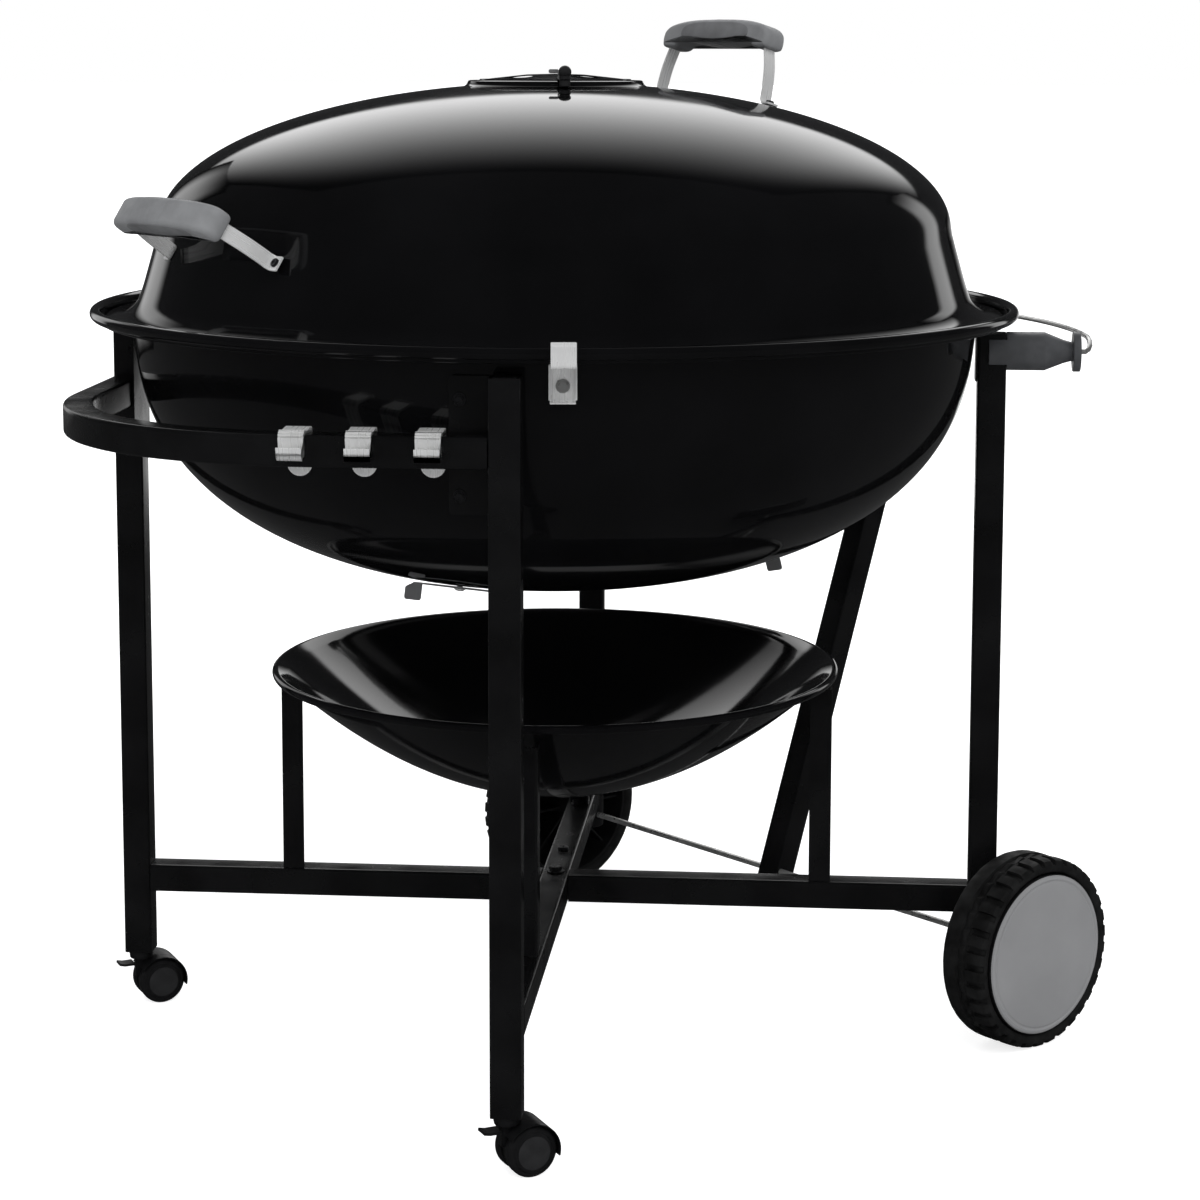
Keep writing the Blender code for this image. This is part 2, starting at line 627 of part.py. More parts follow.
def make_caster(side, leg):
    """A twin-wheel caster: a swivelling housing, a wheel pair on one axle and a brake pedal."""
    heading = Matrix.Rotation(math.radians(CASTER_AXLE_ANGLE + 90), 3, "Z").to_quaternion()
    swivel = empty(f"{side}_caster_swivel", GRILL, (*leg, 0), heading)
    hub = Vector((CASTER_TRAIL, 0, CASTER_WHEEL_RADIUS))
    gap, half, radius = CASTER_GAP, CASTER_HALF_WIDTH, CASTER_WHEEL_RADIUS
    side_profile = [(0.0, half), (0.017, half - 0.0008), (radius - 0.002, half - 0.0028),
                    (radius, half - 0.005), (radius, gap + 0.002), (radius - 0.0015, gap), (0.003, gap)]
    profile = side_profile + [(r, -s) for r, s in reversed(side_profile)]
    turned(f"caster_wheels_{side}", profile, BLACK_PLASTIC, swivel, hub, (0, 1, 0), 20)
    body = gap - 0.0008
    top = CASTER_LEG_FOOT - GAP
    profile = [(0.0, body), (0.020, body), (0.0225, body - 0.0015), (0.0225, -body + 0.0015), (0.020, -body),
               (0.0, -body)]
    housing = turned(f"caster_housing_{side}", profile, BLACK_PLASTIC, swivel, hub, (0, 1, 0), 20)
    neck = bmesh.new()
    bmesh.ops.create_cube(neck, size=1.0)
    bmesh.ops.scale(neck, vec=(0.016, 2 * body - 0.0002, 0.024), verts=neck.verts)
    bmesh.ops.translate(neck, vec=(0.0005, 0, 0.041), verts=neck.verts)
    add_boolean(housing, hide_as_cutter(object_from_bmesh(f"{side}_caster_neck", neck), swivel), "UNION")
    foot = 0.0508
    collar = [(Vector((0, 0, (top + foot) / 2)), (0, 0, 1), 0.0140, top - foot, 16)]
    add_boolean(housing, cutter(f"{side}_caster_collar", collar, swivel), "UNION")
    hood_angles = [math.radians(-12 + 14 * i) for i in range(12)]
    hood_points = [(hub.x + CASTER_HOOD * math.cos(a), hub.z + CASTER_HOOD * math.sin(a))
                   for a in hood_angles]
    hood = strip_mesh(hood_points, 2 * half)
    hood_object = hide_as_cutter(object_from_bmesh(f"{side}_caster_hood", hood), swivel)
    add_sheet(hood_object, 0.0014)
    add_boolean(housing, hood_object, "UNION")
    hole = [(hub, (0, 1, 0), 0.0036, 0.05, 12)]
    add_boolean(housing, cutter(f"{side}_caster_axle_hole", hole, swivel))
    pedal = empty(f"{side}_brake_pivot", swivel, (-0.0094, 0, 0.0465))
    box(f"caster_brake_{side}", (0.017, 0.018, 0.003), (-0.0087, 0, 0), BLACK_PLASTIC, pedal, 0.001)


def make_tow_handle():
    """A square tube bent round the front left corner, from the left leg to the front leg."""
    bend_centre = -LEG_RADIUS + HANDLE_BEND
    start = -TUBE / 2 - GAP
    bm = bmesh.new()
    half = TUBE / 2
    corners = [(start, -LEG_RADIUS + y, HANDLE_HEIGHT + z)
               for y, z in ((-half, -half), (half, -half), (half, half), (-half, half))]
    loop = [bm.verts.new(corner) for corner in corners]
    edges = [bm.edges.new((loop[i], loop[(i + 1) % 4])) for i in range(4)]
    grown = bmesh.ops.extrude_edge_only(bm, edges=edges)["geom"]
    bmesh.ops.translate(bm, vec=(bend_centre - start, 0, 0), verts=only_verts(grown))
    bent = bmesh.ops.spin(bm, geom=only_edges(grown), cent=(bend_centre, bend_centre, HANDLE_HEIGHT),
                          axis=(0, 0, 1), angle=-math.pi / 2, steps=HANDLE_BEND_STEPS,
                          use_duplicate=False)
    grown = bmesh.ops.extrude_edge_only(bm, edges=only_edges(bent["geom_last"]))["geom"]
    bmesh.ops.translate(bm, vec=(0, start - bend_centre, 0), verts=only_verts(grown))
    bmesh.ops.recalc_face_normals(bm, faces=bm.faces)
    handle = place(object_from_bmesh("tow_handle", bm), BLACK_PAINT, GRILL)
    add_thickness(handle, TUBE_WALL)


def only_verts(items):
    return [item for item in items if isinstance(item, bmesh.types.BMVert)]


def only_edges(items):
    return [item for item in items if isinstance(item, bmesh.types.BMEdge)]


def make_tool_hooks():
    """Three strips that hang over the tow handle, each with a hook in front."""
    face = TUBE / 2 + 0.00135
    half = HOOK_WIDTH / 2
    points, widths = [], []
    for drop in (0.0117, 0.0100, 0.0070, 0.0035, 0.0):
        points.append((-face, HOOK_BACK_END + half - drop))
        widths.append(2 * math.sqrt(half ** 2 - drop ** 2))
    points += [(-face, face - 0.0008), (-face + 0.0008, face), (face - 0.0008, face),
               (face, face - 0.0008), (face, -0.0005), (face + 0.0022, -0.0034),
               (face + 0.0076, -0.0040), (face + 0.0112, -0.0016), (face + 0.0124, 0.0045)]
    widths += [HOOK_WIDTH] * (len(points) - len(widths))
    bend_start = -LEG_RADIUS + HANDLE_BEND
    for number, x in enumerate(HOOK_PLACES, start=1):
        into_bend = math.asin(max(0.0, bend_start - x) / HANDLE_BEND)
        y = -LEG_RADIUS + HANDLE_BEND * (1 - math.cos(into_bend))
        rotation = Matrix.Rotation(math.radians(-90) - into_bend, 3, "Z").to_quaternion()
        bent_strip(f"tool_hook_{number}", points, widths, 0.0015, PLATED_STEEL, GRILL,
                   (x, y, HANDLE_HEIGHT), rotation)


def make_spool(side, degrees):
    """The turned plastic rest on top of a rear leg; its slotted base sleeves over the tube."""
    start = LEG_RADIUS + TUBE / 2
    length = SPOOL_END - start
    profile = [(0, length), (0.020, length), (0.0215, length - 0.0015), (0.0215, length - 0.0075),
               (0.0100, length - 0.0085), (0.0125, length - 0.017), (0.0195, 0.0420), (0.0205, 0.0390),
               (0.0205, 0.001 - SPOOL_SLEEVE), (0.0195, -SPOOL_SLEEVE), (0, -SPOOL_SLEEVE)]
    direction = polar(1.0, degrees)
    spool = turned(f"lid_rest_spool_{side}", profile, DARK_NYLON, GRILL,
                   direction * start + Vector((0, 0, SPOOL_HEIGHT)), direction, 20)
    slot = bmesh.new()
    bmesh.ops.create_cube(slot, size=1.0)
    bmesh.ops.scale(slot, vec=(TUBE + 2 * GAP, TUBE + 2 * GAP, 0.06), verts=slot.verts)
    bmesh.ops.translate(slot, vec=polar(LEG_RADIUS, degrees, SPOOL_HEIGHT), verts=slot.verts)
    add_boolean(spool, hide_as_cutter(object_from_bmesh(f"{side}_spool_slot", slot), GRILL))


def strut_point(height):
    """A point on the strut's centre line."""
    return polar(STRUT_RADIUS + STRUT_LEAN * (height - WHEEL_RADIUS), 45, height)


def strut_axes():
    """The strut's own directions: along it, out of its outer face, and level across it."""
    lean = (polar(STRUT_LEAN, 45) + Vector((0, 0, 1))).normalized()
    across = polar(1.0, 135)
    return lean, across.cross(lean).normalized(), across


def wire_rest():
    """The point of the strut's outer face that the middle of the wire lies against."""
    outward = strut_axes()[1]
    centre_height = WIRE_HEIGHT - outward.z * (TUBE / 2 + WIRE_RADIUS)
    return strut_point(centre_height) + outward * TUBE / 2


def wire_radius(degrees):
    """Distance of the lid-rest wire from the kettle's axis, greatest where it lies on the strut."""
    middle = wire_rest() + strut_axes()[1] * (WIRE_RADIUS + 2 * GAP)
    reach = math.hypot(middle.x, middle.y)
    return 0.567 + (reach - 0.567) * math.sin(math.radians(2 * degrees)) ** 2


def make_lid_rest_wire():
    start = SPOOL_END + GAP
    lead = [(start, 0.0, SPOOL_HEIGHT), (start + 0.004, 0.0, SPOOL_HEIGHT),
            (start + 0.009, 0.003, SPOOL_HEIGHT + 0.001), (start + 0.0115, 0.011, SPOOL_HEIGHT + 0.006)]
    points = [Vector(point) for point in lead]
    steps = 21
    for i in range(steps + 1):
        degrees = 2.6 + (90 - 5.2) * i / steps
        points.append(polar(wire_radius(degrees), degrees, WIRE_HEIGHT))
    points += [Vector((y, x, z)) for x, y, z in reversed(lead)]
    round_rod("lid_rest_wire", points, WIRE_RADIUS, PLATED_STEEL, GRILL)


def make_strut():
    """The tube that leans out from the axle and holds the middle of the wire on its outer face."""
    lean, outward, across = strut_axes()
    foot, top = strut_point(STRUT_FOOT), strut_point(STRUT_TOP)
    turn = math.radians(45)
    obj = square_tube("lid_rest_strut", TUBE, (top - foot).length, (foot + top) / 2, lean, BLACK_PAINT,
                      ["low"], turn)
    hole = [(polar(LEG_RADIUS / math.sqrt(2), 45, WHEEL_RADIUS), AXLE_DIRECTION, AXLE_BORE, 0.06, 12)]
    add_boolean(obj, cutter("strut_axle_hole", hole, GRILL))
    sheet = 0.0012
    flat = sheet / 2 + GAP
    wrap = WIRE_RADIUS + GAP + sheet / 2
    arc = [math.radians(-90 + 30 * i) for i in range(7)]
    points = [(flat, -0.020), (flat, -wrap)]
    points += [(WIRE_RADIUS + GAP + wrap * math.cos(a), wrap * math.sin(a)) for a in arc]
    points += [(flat, wrap), (flat, 0.0085)]
    rotation = Matrix((outward, across, lean)).transposed().to_quaternion()
    bent_strip("wire_clip", points, 0.014, sheet, PLATED_STEEL, GRILL, wire_rest(), rotation)


def make_brackets():
    """Plates that join the bowl's wall to the four legs, and the clip under the rim."""
    distance = LEG_RADIUS - TUBE / 2 - GAP - BRACKET_STEEL / 2
    long_plate, short_plate = (0.068, 0.130, 0.691), (0.028, 0.050, 0.731)
    plates = {"left": (180, long_plate), "front": (-90, long_plate),
              "right": (0, short_plate), "back": (90, short_plate)}
    for side, (degrees, (width, height, middle)) in plates.items():
        outward = polar(1.0, degrees)
        towards_handle = Vector((-abs(outward.y), -abs(outward.x), 0))
        centre = outward * distance + towards_handle * (width / 2 - 0.0135) + Vector((0, 0, middle))
        rotation = Matrix.Rotation(math.radians(degrees), 3, "Z").to_quaternion()
        size = (BRACKET_STEEL, width, height)
        box(f"bowl_bracket_{side}", size, centre, BLACK_PAINT, GRILL, 0.0, rotation)
    points = [(0.0062, -0.0280), (0.0, -0.0270), (0.0, 0.0068), (0.0018, 0.0086), (0.0454, 0.0086),
              (0.0472, 0.0104), (0.0472, 0.0260), (0.0440, 0.0290)]
    rotation = Matrix.Rotation(math.radians(-83.5), 3, "Z").to_quaternion()
    base = polar(BOWL_RADIUS + 0.0014, -83.5, 0.7600)
    bent_strip("rim_clip", points, 0.026, 0.0015, PLATED_STEEL, GRILL, base, rotation)


def make_lid_handle(name, degrees, foot_centre, outward, foot_lift):
    """Two bent straps and a moulded grip; outward is the way the grip stands off the lid."""
    along = polar(1.0, degrees + 90)
    outward = Vector(outward).normalized()
    across = outward.cross(along).normalized()
    axes = Matrix((along, across, outward)).transposed()
    rotation = axes.to_quaternion()
    under_grip = GRIP_STANDOFF - 0.0014
    bends = [(STRAP_FOOT + 0.017, foot_lift), (STRAP_FOOT + 0.002, foot_lift),
             (STRAP_FOOT, foot_lift + 0.002), (STRAP_FOOT - 0.002, 0.018), (STRAP_FOOT - 0.007, 0.042),
             (STRAP_TOP, GRIP_STANDOFF - 0.003), (STRAP_TOP - 0.002, under_grip),
             (STRAP_TOP - 0.015, under_grip)]
    for side, sign in (("left", -1), ("right", 1)):
        points = [(sign * x, z) for x, z in bends]
        bent_strip(f"{name}_strap_{side}", points, STRAP_WIDTH, STRAP_STEEL, PLATED_STEEL, LID,
                   foot_centre, rotation)
    centre = Vector(foot_centre) + outward * (GRIP_STANDOFF + GRIP_THICKNESS / 2)
    box(f"{name}_grip", (GRIP_LENGTH, GRIP_DEPTH, GRIP_THICKNESS), centre, GREY_NYLON, LID, 0.008, rotation)


def make_lid_handles():
    top_circle = 0.222
    foot_radius = math.hypot(top_circle, STRAP_FOOT)
    tilt = math.radians(14.1)
    make_lid_handle("top_handle", 45, polar(top_circle, 45, lid_height(foot_radius)),
                    polar(math.sin(tilt), 45, math.cos(tilt)), 0.0024)
    side_height = 0.848
    wall_radius = 0.4230
    chord = math.sqrt(wall_radius ** 2 - STRAP_FOOT ** 2)
    rise = math.radians(34)
    make_lid_handle("side_handle", -135, polar(chord, -135, side_height),
                    polar(math.cos(rise), -135, math.sin(rise)), 0.0045)


clear_scene()
PARTS = make_collection("kettle_grill")
CUTTERS = make_collection("kettle_grill_cutters")
GRILL = empty("grill", None, KETTLE_AXIS)
LID = empty("lid_lift", GRILL)
VENT = empty("lid_vent_pivot", LID)
ASH = empty("ash_catcher_lift", GRILL)

make_bowl()
make_lid()
make_lid_vent()
for damper_side, damper_angle in DAMPER_ANGLES.items():
    make_damper(damper_side, damper_angle)
make_grates()
make_frame()
make_ash_posts()
make_ash_catcher()
make_axle()
make_wheel("right", (LEG_RADIUS, 0), AXLE_DIRECTION)
make_wheel("back", (0, LEG_RADIUS), -AXLE_DIRECTION)
make_caster("left", (-LEG_RADIUS, 0))
make_caster("front", (0, -LEG_RADIUS))
make_tow_handle()
make_tool_hooks()
make_spool("right", 0)
make_spool("back", 90)
make_lid_rest_wire()
make_strut()
make_brackets()
make_lid_handles()
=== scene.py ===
"""Kettle charcoal grill: the finished look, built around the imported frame.

Lengths are metres. Places are given from the kettle's own axis at floor level, which
kettle() turns into the frame's coordinates: +X towards the right wheel's leg, +Y towards
the back leg.
"""
import math

import bmesh
import bpy
from mathutils import Matrix, Vector


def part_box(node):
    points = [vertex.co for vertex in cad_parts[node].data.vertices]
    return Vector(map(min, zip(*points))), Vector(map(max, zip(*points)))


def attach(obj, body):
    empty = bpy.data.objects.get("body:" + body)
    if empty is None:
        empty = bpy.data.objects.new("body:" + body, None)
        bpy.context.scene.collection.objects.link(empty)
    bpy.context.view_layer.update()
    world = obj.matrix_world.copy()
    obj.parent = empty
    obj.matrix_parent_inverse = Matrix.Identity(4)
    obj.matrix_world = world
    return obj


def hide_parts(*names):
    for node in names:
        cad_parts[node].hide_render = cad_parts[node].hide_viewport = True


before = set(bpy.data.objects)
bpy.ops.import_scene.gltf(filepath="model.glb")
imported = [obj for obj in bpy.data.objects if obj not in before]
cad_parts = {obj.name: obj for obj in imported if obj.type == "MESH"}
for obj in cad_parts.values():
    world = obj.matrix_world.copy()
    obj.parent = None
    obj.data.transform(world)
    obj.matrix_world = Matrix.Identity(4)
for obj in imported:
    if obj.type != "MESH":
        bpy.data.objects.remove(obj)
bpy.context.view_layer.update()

UP = Vector((0, 0, 1))
GAP = 0.0004
TURN_STEPS = 128

BOWL_LOW, BOWL_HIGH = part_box("bowl")
AXIS = Vector(((BOWL_LOW.x + BOWL_HIGH.x) / 2, (BOWL_LOW.y + BOWL_HIGH.y) / 2, 0))
RIM_RADIUS = (BOWL_HIGH.x - BOWL_LOW.x) / 2
RIM_TOP = BOWL_HIGH.z
BOWL_DEPTH = RIM_TOP - BOWL_LOW.z
BOWL_RADIUS = RIM_RADIUS - 0.045
SHELF = RIM_TOP - 0.016
BEAD = 0.006
STEEL = 0.0015
BOWL_ROUND, BOWL_FLAT = 2.22, 2.50

LEG_LOW, LEG_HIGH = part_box("leg_front")
TUBE = LEG_HIGH.x - LEG_LOW.x
LEG_RADIUS = AXIS.y - (LEG_LOW.y + LEG_HIGH.y) / 2
TOW_BEND = LEG_RADIUS - 0.18
LEG_ANGLES = {"left": 180, "front": -90, "right": 0, "back": 90}
BAR_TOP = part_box("crossbar_front_back")[1].z
TOW_LOW, TOW_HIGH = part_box("tow_handle")
TOW_HEIGHT = (TOW_LOW.z + TOW_HIGH.z) / 2

SIDES = (("left", -1), ("right", 1))

LID_LOW, LID_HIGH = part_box("lid")
LID_CROWN = 0.418
LID_SHOULDER = RIM_TOP + 0.080
LID_RISE = 0.1524
LID_STEEL = 0.0012

ASH_LOW, ASH_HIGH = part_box("ash_catcher")
ASH_RADIUS = (ASH_HIGH.x - ASH_LOW.x) / 2

WHEEL_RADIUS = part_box("tyre_right")[1].z / 2

FLOOR_GLOW = 0.75
AMBIENT = 0.85


def kettle(x, y, z=0.0):
    return Vector((AXIS.x + x, AXIS.y + y, z))


def polar(radius, degrees, height=0.0):
    angle = math.radians(degrees)
    return kettle(radius * math.cos(angle), radius * math.sin(angle), height)


def heading(degrees):
    angle = math.radians(degrees)
    return Vector((math.cos(angle), math.sin(angle), 0))


def axes_matrix(origin, x_axis, z_axis):
    """A placing matrix whose local X and Z lie along the given directions."""
    z_axis = Vector(z_axis).normalized()
    x_axis = (Vector(x_axis) - z_axis * Vector(x_axis).dot(z_axis)).normalized()
    turn = Matrix((x_axis, z_axis.cross(x_axis), z_axis)).transposed()
    return Matrix.Translation(origin) @ turn.to_4x4()


def facing(origin, direction):
    """A placing matrix whose local Z lies along a direction."""
    direction = Vector(direction).normalized()
    side = UP.cross(direction) if abs(direction.z) < 0.99 else Vector((1, 0, 0))
    return axes_matrix(origin, side, direction)


# ---------------------------------------------------------------- materials

NOISE_LOW, NOISE_HIGH = 0.35, 0.65


class Shader:
    """A Principled material with the nodes that vary its colour, roughness and surface."""

    def __init__(self, name, base, roughness, metallic, ior):
        self.material = bpy.data.materials.new(name)
        self.material.use_nodes = True
        self.nodes = self.material.node_tree.nodes
        self.links = self.material.node_tree.links
        self.principled = self.nodes["Principled BSDF"]
        self.coordinates = self.nodes.new("ShaderNodeTexCoord")
        self.base = base
        self.height = None
        self.set("Base Color", (*base, 1))
        self.set("Roughness", roughness)
        self.set("Metallic", metallic)
        if ior:
            self.set("IOR", ior)

    def set(self, socket, value):
        self.principled.inputs[socket].default_value = value

    def noise(self, scale, detail, stretch=(1, 1, 1)):
        mapping = self.nodes.new("ShaderNodeMapping")
        mapping.inputs["Scale"].default_value = stretch
        texture = self.nodes.new("ShaderNodeTexNoise")
        texture.inputs["Scale"].default_value = scale
        texture.inputs["Detail"].default_value = detail
        self.links.new(self.coordinates.outputs["Object"], mapping.inputs["Vector"])
        self.links.new(mapping.outputs["Vector"], texture.inputs["Vector"])
        return texture.outputs["Fac"]

    def colours(self, factor, low, high):
        """Base colour that runs from low to high times the plain colour."""
        ramp = self.nodes.new("ShaderNodeValToRGB")
        for element, place, share in zip(ramp.color_ramp.elements, (NOISE_LOW, NOISE_HIGH), (low, high)):
            element.position = place
            element.color = (*[c * share for c in self.base], 1)
        self.links.new(factor, ramp.inputs["Fac"])
        self.links.new(ramp.outputs["Color"], self.principled.inputs["Base Color"])

    def roughness(self, factor, low, high):
        ramp = self.nodes.new("ShaderNodeMapRange")
        for socket, value in (("From Min", NOISE_LOW), ("From Max", NOISE_HIGH),
                              ("To Min", low), ("To Max", high)):
            ramp.inputs[socket].default_value = value
        self.links.new(factor, ramp.inputs["Value"])
        self.links.new(ramp.outputs["Result"], self.principled.inputs["Roughness"])

    def bump(self, factor, strength, distance):
        bump = self.nodes.new("ShaderNodeBump")
        bump.inputs["Strength"].default_value = strength
        bump.inputs["Distance"].default_value = distance
        self.links.new(factor, bump.inputs["Height"])
        if self.height is not None:
            self.links.new(self.height, bump.inputs["Normal"])
        self.height = bump.outputs["Normal"]
        self.links.new(self.height, self.principled.inputs["Normal"])


def surface(name, base, roughness, tint, gloss, *bumps, metallic=0.0, ior=None):
    """A material; tint and gloss are a noise with a low and a high value, each bump is a noise
    with a strength and a distance. A noise is its scale, its detail and maybe its stretch."""
    shader = Shader(name, base, roughness, metallic, ior)
    shader.colours(shader.noise(*tint[0]), *tint[1:])
    shader.roughness(shader.noise(*gloss[0]), *gloss[1:])
    for noise, strength, distance in bumps:
        shader.bump(shader.noise(*noise), strength, distance)
    return shader.material


MATERIALS = {
    "enamel": surface("enamel_black", (0.0030, 0.0030, 0.0033), 0.07, ((7, 4), 0.75, 1.3),
                      ((5, 6), 0.045, 0.10), ((38, 2), 0.05, 0.0004), ((420, 2), 0.02, 0.0002), ior=1.5),
    "paint": surface("paint_black", (0.0045, 0.0045, 0.0048), 0.24, ((14, 4), 0.7, 1.4),
                     ((22, 5), 0.17, 0.30), ((850, 2), 0.10, 0.0002), ((60, 2), 0.05, 0.0003), ior=1.48),
    "plated": surface("steel_plated", (0.88, 0.88, 0.87), 0.28, ((26, 4), 0.93, 1.04),
                      ((300, 2, (0.04, 1, 0.04)), 0.26, 0.31), ((900, 2), 0.02, 0.00002), metallic=0.35),
    "wire": surface("steel_wire", (0.62, 0.62, 0.61), 0.30, ((45, 4), 0.85, 1.1), ((90, 4), 0.24, 0.40),
                    ((700, 2), 0.06, 0.0001), metallic=0.80),
    "grate": surface("steel_grate", (0.42, 0.41, 0.39), 0.38, ((16, 5), 0.65, 1.15), ((35, 5), 0.30, 0.55),
                     ((500, 3), 0.10, 0.0002), metallic=0.9),
    "aluminium": surface("aluminium_sheet", (0.74, 0.74, 0.745), 0.36, ((25, 4), 0.88, 1.06),
                         ((50, 4, (1, 12, 1)), 0.28, 0.44), ((300, 2, (1, 16, 1)), 0.08, 0.0001),
                         metallic=0.85),
    "grip": surface("nylon_grey", (0.235, 0.238, 0.243), 0.50, ((40, 4), 0.90, 1.12),
                    ((120, 3), 0.44, 0.58), ((1500, 3), 0.22, 0.0002), ior=1.46),
    "panel": surface("nylon_dark_panel", (0.165, 0.167, 0.171), 0.55, ((40, 4), 0.88, 1.15),
                     ((120, 3), 0.50, 0.64), ((1300, 3), 0.25, 0.0002), ior=1.46),
    "spool": surface("nylon_spool", (0.070, 0.072, 0.076), 0.36, ((60, 4), 0.88, 1.15),
                     ((140, 4), 0.28, 0.42), ((900, 2), 0.10, 0.0002), ior=1.47),
    "plastic": surface("plastic_black", (0.007, 0.007, 0.0075), 0.38, ((80, 4), 0.8, 1.3),
                       ((150, 4), 0.30, 0.46), ((1100, 2), 0.12, 0.0002), ior=1.47),
    "disc": surface("plastic_dark_grey", (0.020, 0.020, 0.021), 0.45, ((60, 4), 0.85, 1.2),
                    ((160, 4), 0.40, 0.54), ((1200, 2), 0.15, 0.0002), ior=1.47),
    "rubber": surface("rubber_tyre", (0.009, 0.009, 0.009), 0.62, ((55, 5), 0.7, 1.5),
                      ((90, 4), 0.50, 0.74), ((900, 3), 0.30, 0.0003), ior=1.45),
    "cap": surface("plastic_cap_grey", (0.27, 0.27, 0.274), 0.42, ((12, 4), 0.95, 1.05),
                   ((70, 4), 0.36, 0.48), ((1000, 2), 0.06, 0.0002), ior=1.46),
    "bolt": surface("steel_blackened", (0.055, 0.055, 0.058), 0.32, ((200, 3), 0.7, 1.4),
                    ((220, 3), 0.25, 0.45), ((900, 2), 0.08, 0.0001), metallic=0.9),
}


# ---------------------------------------------------------------- shape helpers

def arc(centre, radius, start, end, count):
    """Points round part of a circle, from one angle in degrees to another."""
    angles = [math.radians(start + (end - start) * i / (count - 1)) for i in range(count)]
    return [(centre[0] + radius * math.cos(a), centre[1] + radius * math.sin(a)) for a in angles]


def rounded(points, radius, count=5, closed=False):
    """A polyline of 2-D or 3-D points with its corners turned into arcs."""
    points = [Vector(p) for p in points]
    result = []
    total = len(points)
    for i, corner in enumerate(points):
        if not closed and i in (0, total - 1):
            result.append(corner)
            continue
        before, after = points[i - 1] - corner, points[(i + 1) % total] - corner
        bend = before.angle(after)
        if math.pi - bend < 0.05:
            result.append(corner)
            continue
        reach = min(radius / math.tan(bend / 2), 0.49 * before.length, 0.49 * after.length)
        start, end = corner + before.normalized() * reach, corner + after.normalized() * reach
        for step in range(count + 1):
            t = step / count
            result.append(start * (1 - t) ** 2 + corner * (2 * t * (1 - t)) + end * t ** 2)
    return result


def through(points, per_span=6):
    """A smooth curve through 2-D points."""
    points = [Vector(p) for p in points]
    padded = [points[0] * 2 - points[1]] + points + [points[-1] * 2 - points[-2]]
    result = []
    for i in range(1, len(padded) - 2):
        a, b, c, d = padded[i - 1:i + 3]
        for step in range(per_span):
            t = step / per_span
            result.append(0.5 * (2 * b + (c - a) * t + (2 * a - 5 * b + 4 * c - d) * t * t
                                 + (3 * b - a - 3 * c + d) * t ** 3))
    return result + [points[-1]]


def sheet_outline(points, thickness, side=-1.0):
    """The closed outline of a bent sheet, from one of its faces; side picks where its body lies."""
    points = [Vector(p) for p in points]
    other = []
    for i, point in enumerate(points):
        before = (point - points[i - 1]).normalized() if i > 0 else None
        after = (points[i + 1] - point).normalized() if i < len(points) - 1 else None
        before, after = before or after, after or before
        normals = [Vector((-d.y, d.x)) for d in (before, after)]
        middle = (normals[0] + normals[1]).normalized()
        other.append(point + middle * (side * thickness / max(0.35, middle.dot(normals[0]))))
    return points + other[::-1]


def spin(degrees, axis="Z"):
    return Matrix.Rotation(math.radians(degrees), 4, axis)


def new_mesh(bm):
    mesh = bpy.data.meshes.new("shape")
    bm.to_mesh(mesh)
    bm.free()
    return mesh


def mesh_from(verts, faces):
    """A mesh with its doubles merged and its faces looking outwards."""
    rough = bpy.data.meshes.new("shape")
    rough.from_pydata([tuple(v) for v in verts], [], faces)
    rough.validate()
    return outward(rough)


def outward(mesh):
    bm = bmesh.new()
    bm.from_mesh(mesh)
    bmesh.ops.remove_doubles(bm, verts=bm.verts, dist=1e-6)
    bmesh.ops.recalc_face_normals(bm, faces=bm.faces)
    bm.to_mesh(mesh)
    bm.free()
    return mesh


def bevel(bm, edges, offset, segments):
    bmesh.ops.bevel(bm, geom=edges, offset=offset, segments=segments, affect="EDGES", clamp_overlap=True)


def lathe(outline, steps=TURN_STEPS):
    """Turn an outline of (radius, height) points about Z into a closed body."""
    verts, rows = [], []
    for radius, height in outline:
        if radius < 1e-6:
            rows.append([len(verts)] * steps)
            verts.append((0, 0, height))
            continue
        rows.append(list(range(len(verts), len(verts) + steps)))
        for i in range(steps):
            angle = 2 * math.pi * i / steps
            verts.append((radius * math.cos(angle), radius * math.sin(angle), height))
    faces = []
    for low, high in zip(rows, rows[1:] + rows[:1]):
        for i in range(steps):
            j = (i + 1) % steps
            corners = [low[i], low[j], high[j], high[i]]
            face = [c for k, c in enumerate(corners) if c not in corners[:k]]
            if len(face) > 2:
                faces.append(face)
    return mesh_from(verts, faces)


def puck(radius, low, high, edge, steps, count=3):
    """A round plate about Z, or a washer, with rounded edges."""
    return lathe(rounded([(0, low), (radius, low), (radius, high), (0, high)], edge, count), steps)


def band_faces(rows, size, closed):
    """Faces between each row of vertices and the next, round to the first row if closed."""
    faces = []
    for i in range(rows if closed else rows - 1):
        here, there = i * size, (i + 1) % rows * size
        for k in range(size):
            m = (k + 1) % size
            faces.append([here + k, here + m, there + m, there + k])
    return faces


def end_faces(rows, size):
    return [list(range(size))[::-1], [(rows - 1) * size + k for k in range(size)]]


def sweep(path, section, closed=False):
    """Carry a closed 2-D section along a path of points, its second axis kept upwards."""
    path = [Vector(p) for p in path]
    count, size = len(path), len(section)
    verts = []
    for i, point in enumerate(path):
        ahead = path[(i + 1) % count] if closed or i < count - 1 else point
        behind = path[i - 1] if closed or i > 0 else point
        tangent = (ahead - behind).normalized()
        side = tangent.cross(UP).normalized()
        top = side.cross(tangent).normalized()
        verts += [point + side * x + top * y for x, y in section]
    return mesh_from(verts, band_faces(count, size, closed) + ([] if closed else end_faces(count, size)))


def round_section(radius, count):
    return [(radius * math.cos(2 * math.pi * i / count), radius * math.sin(2 * math.pi * i / count))
            for i in range(count)]


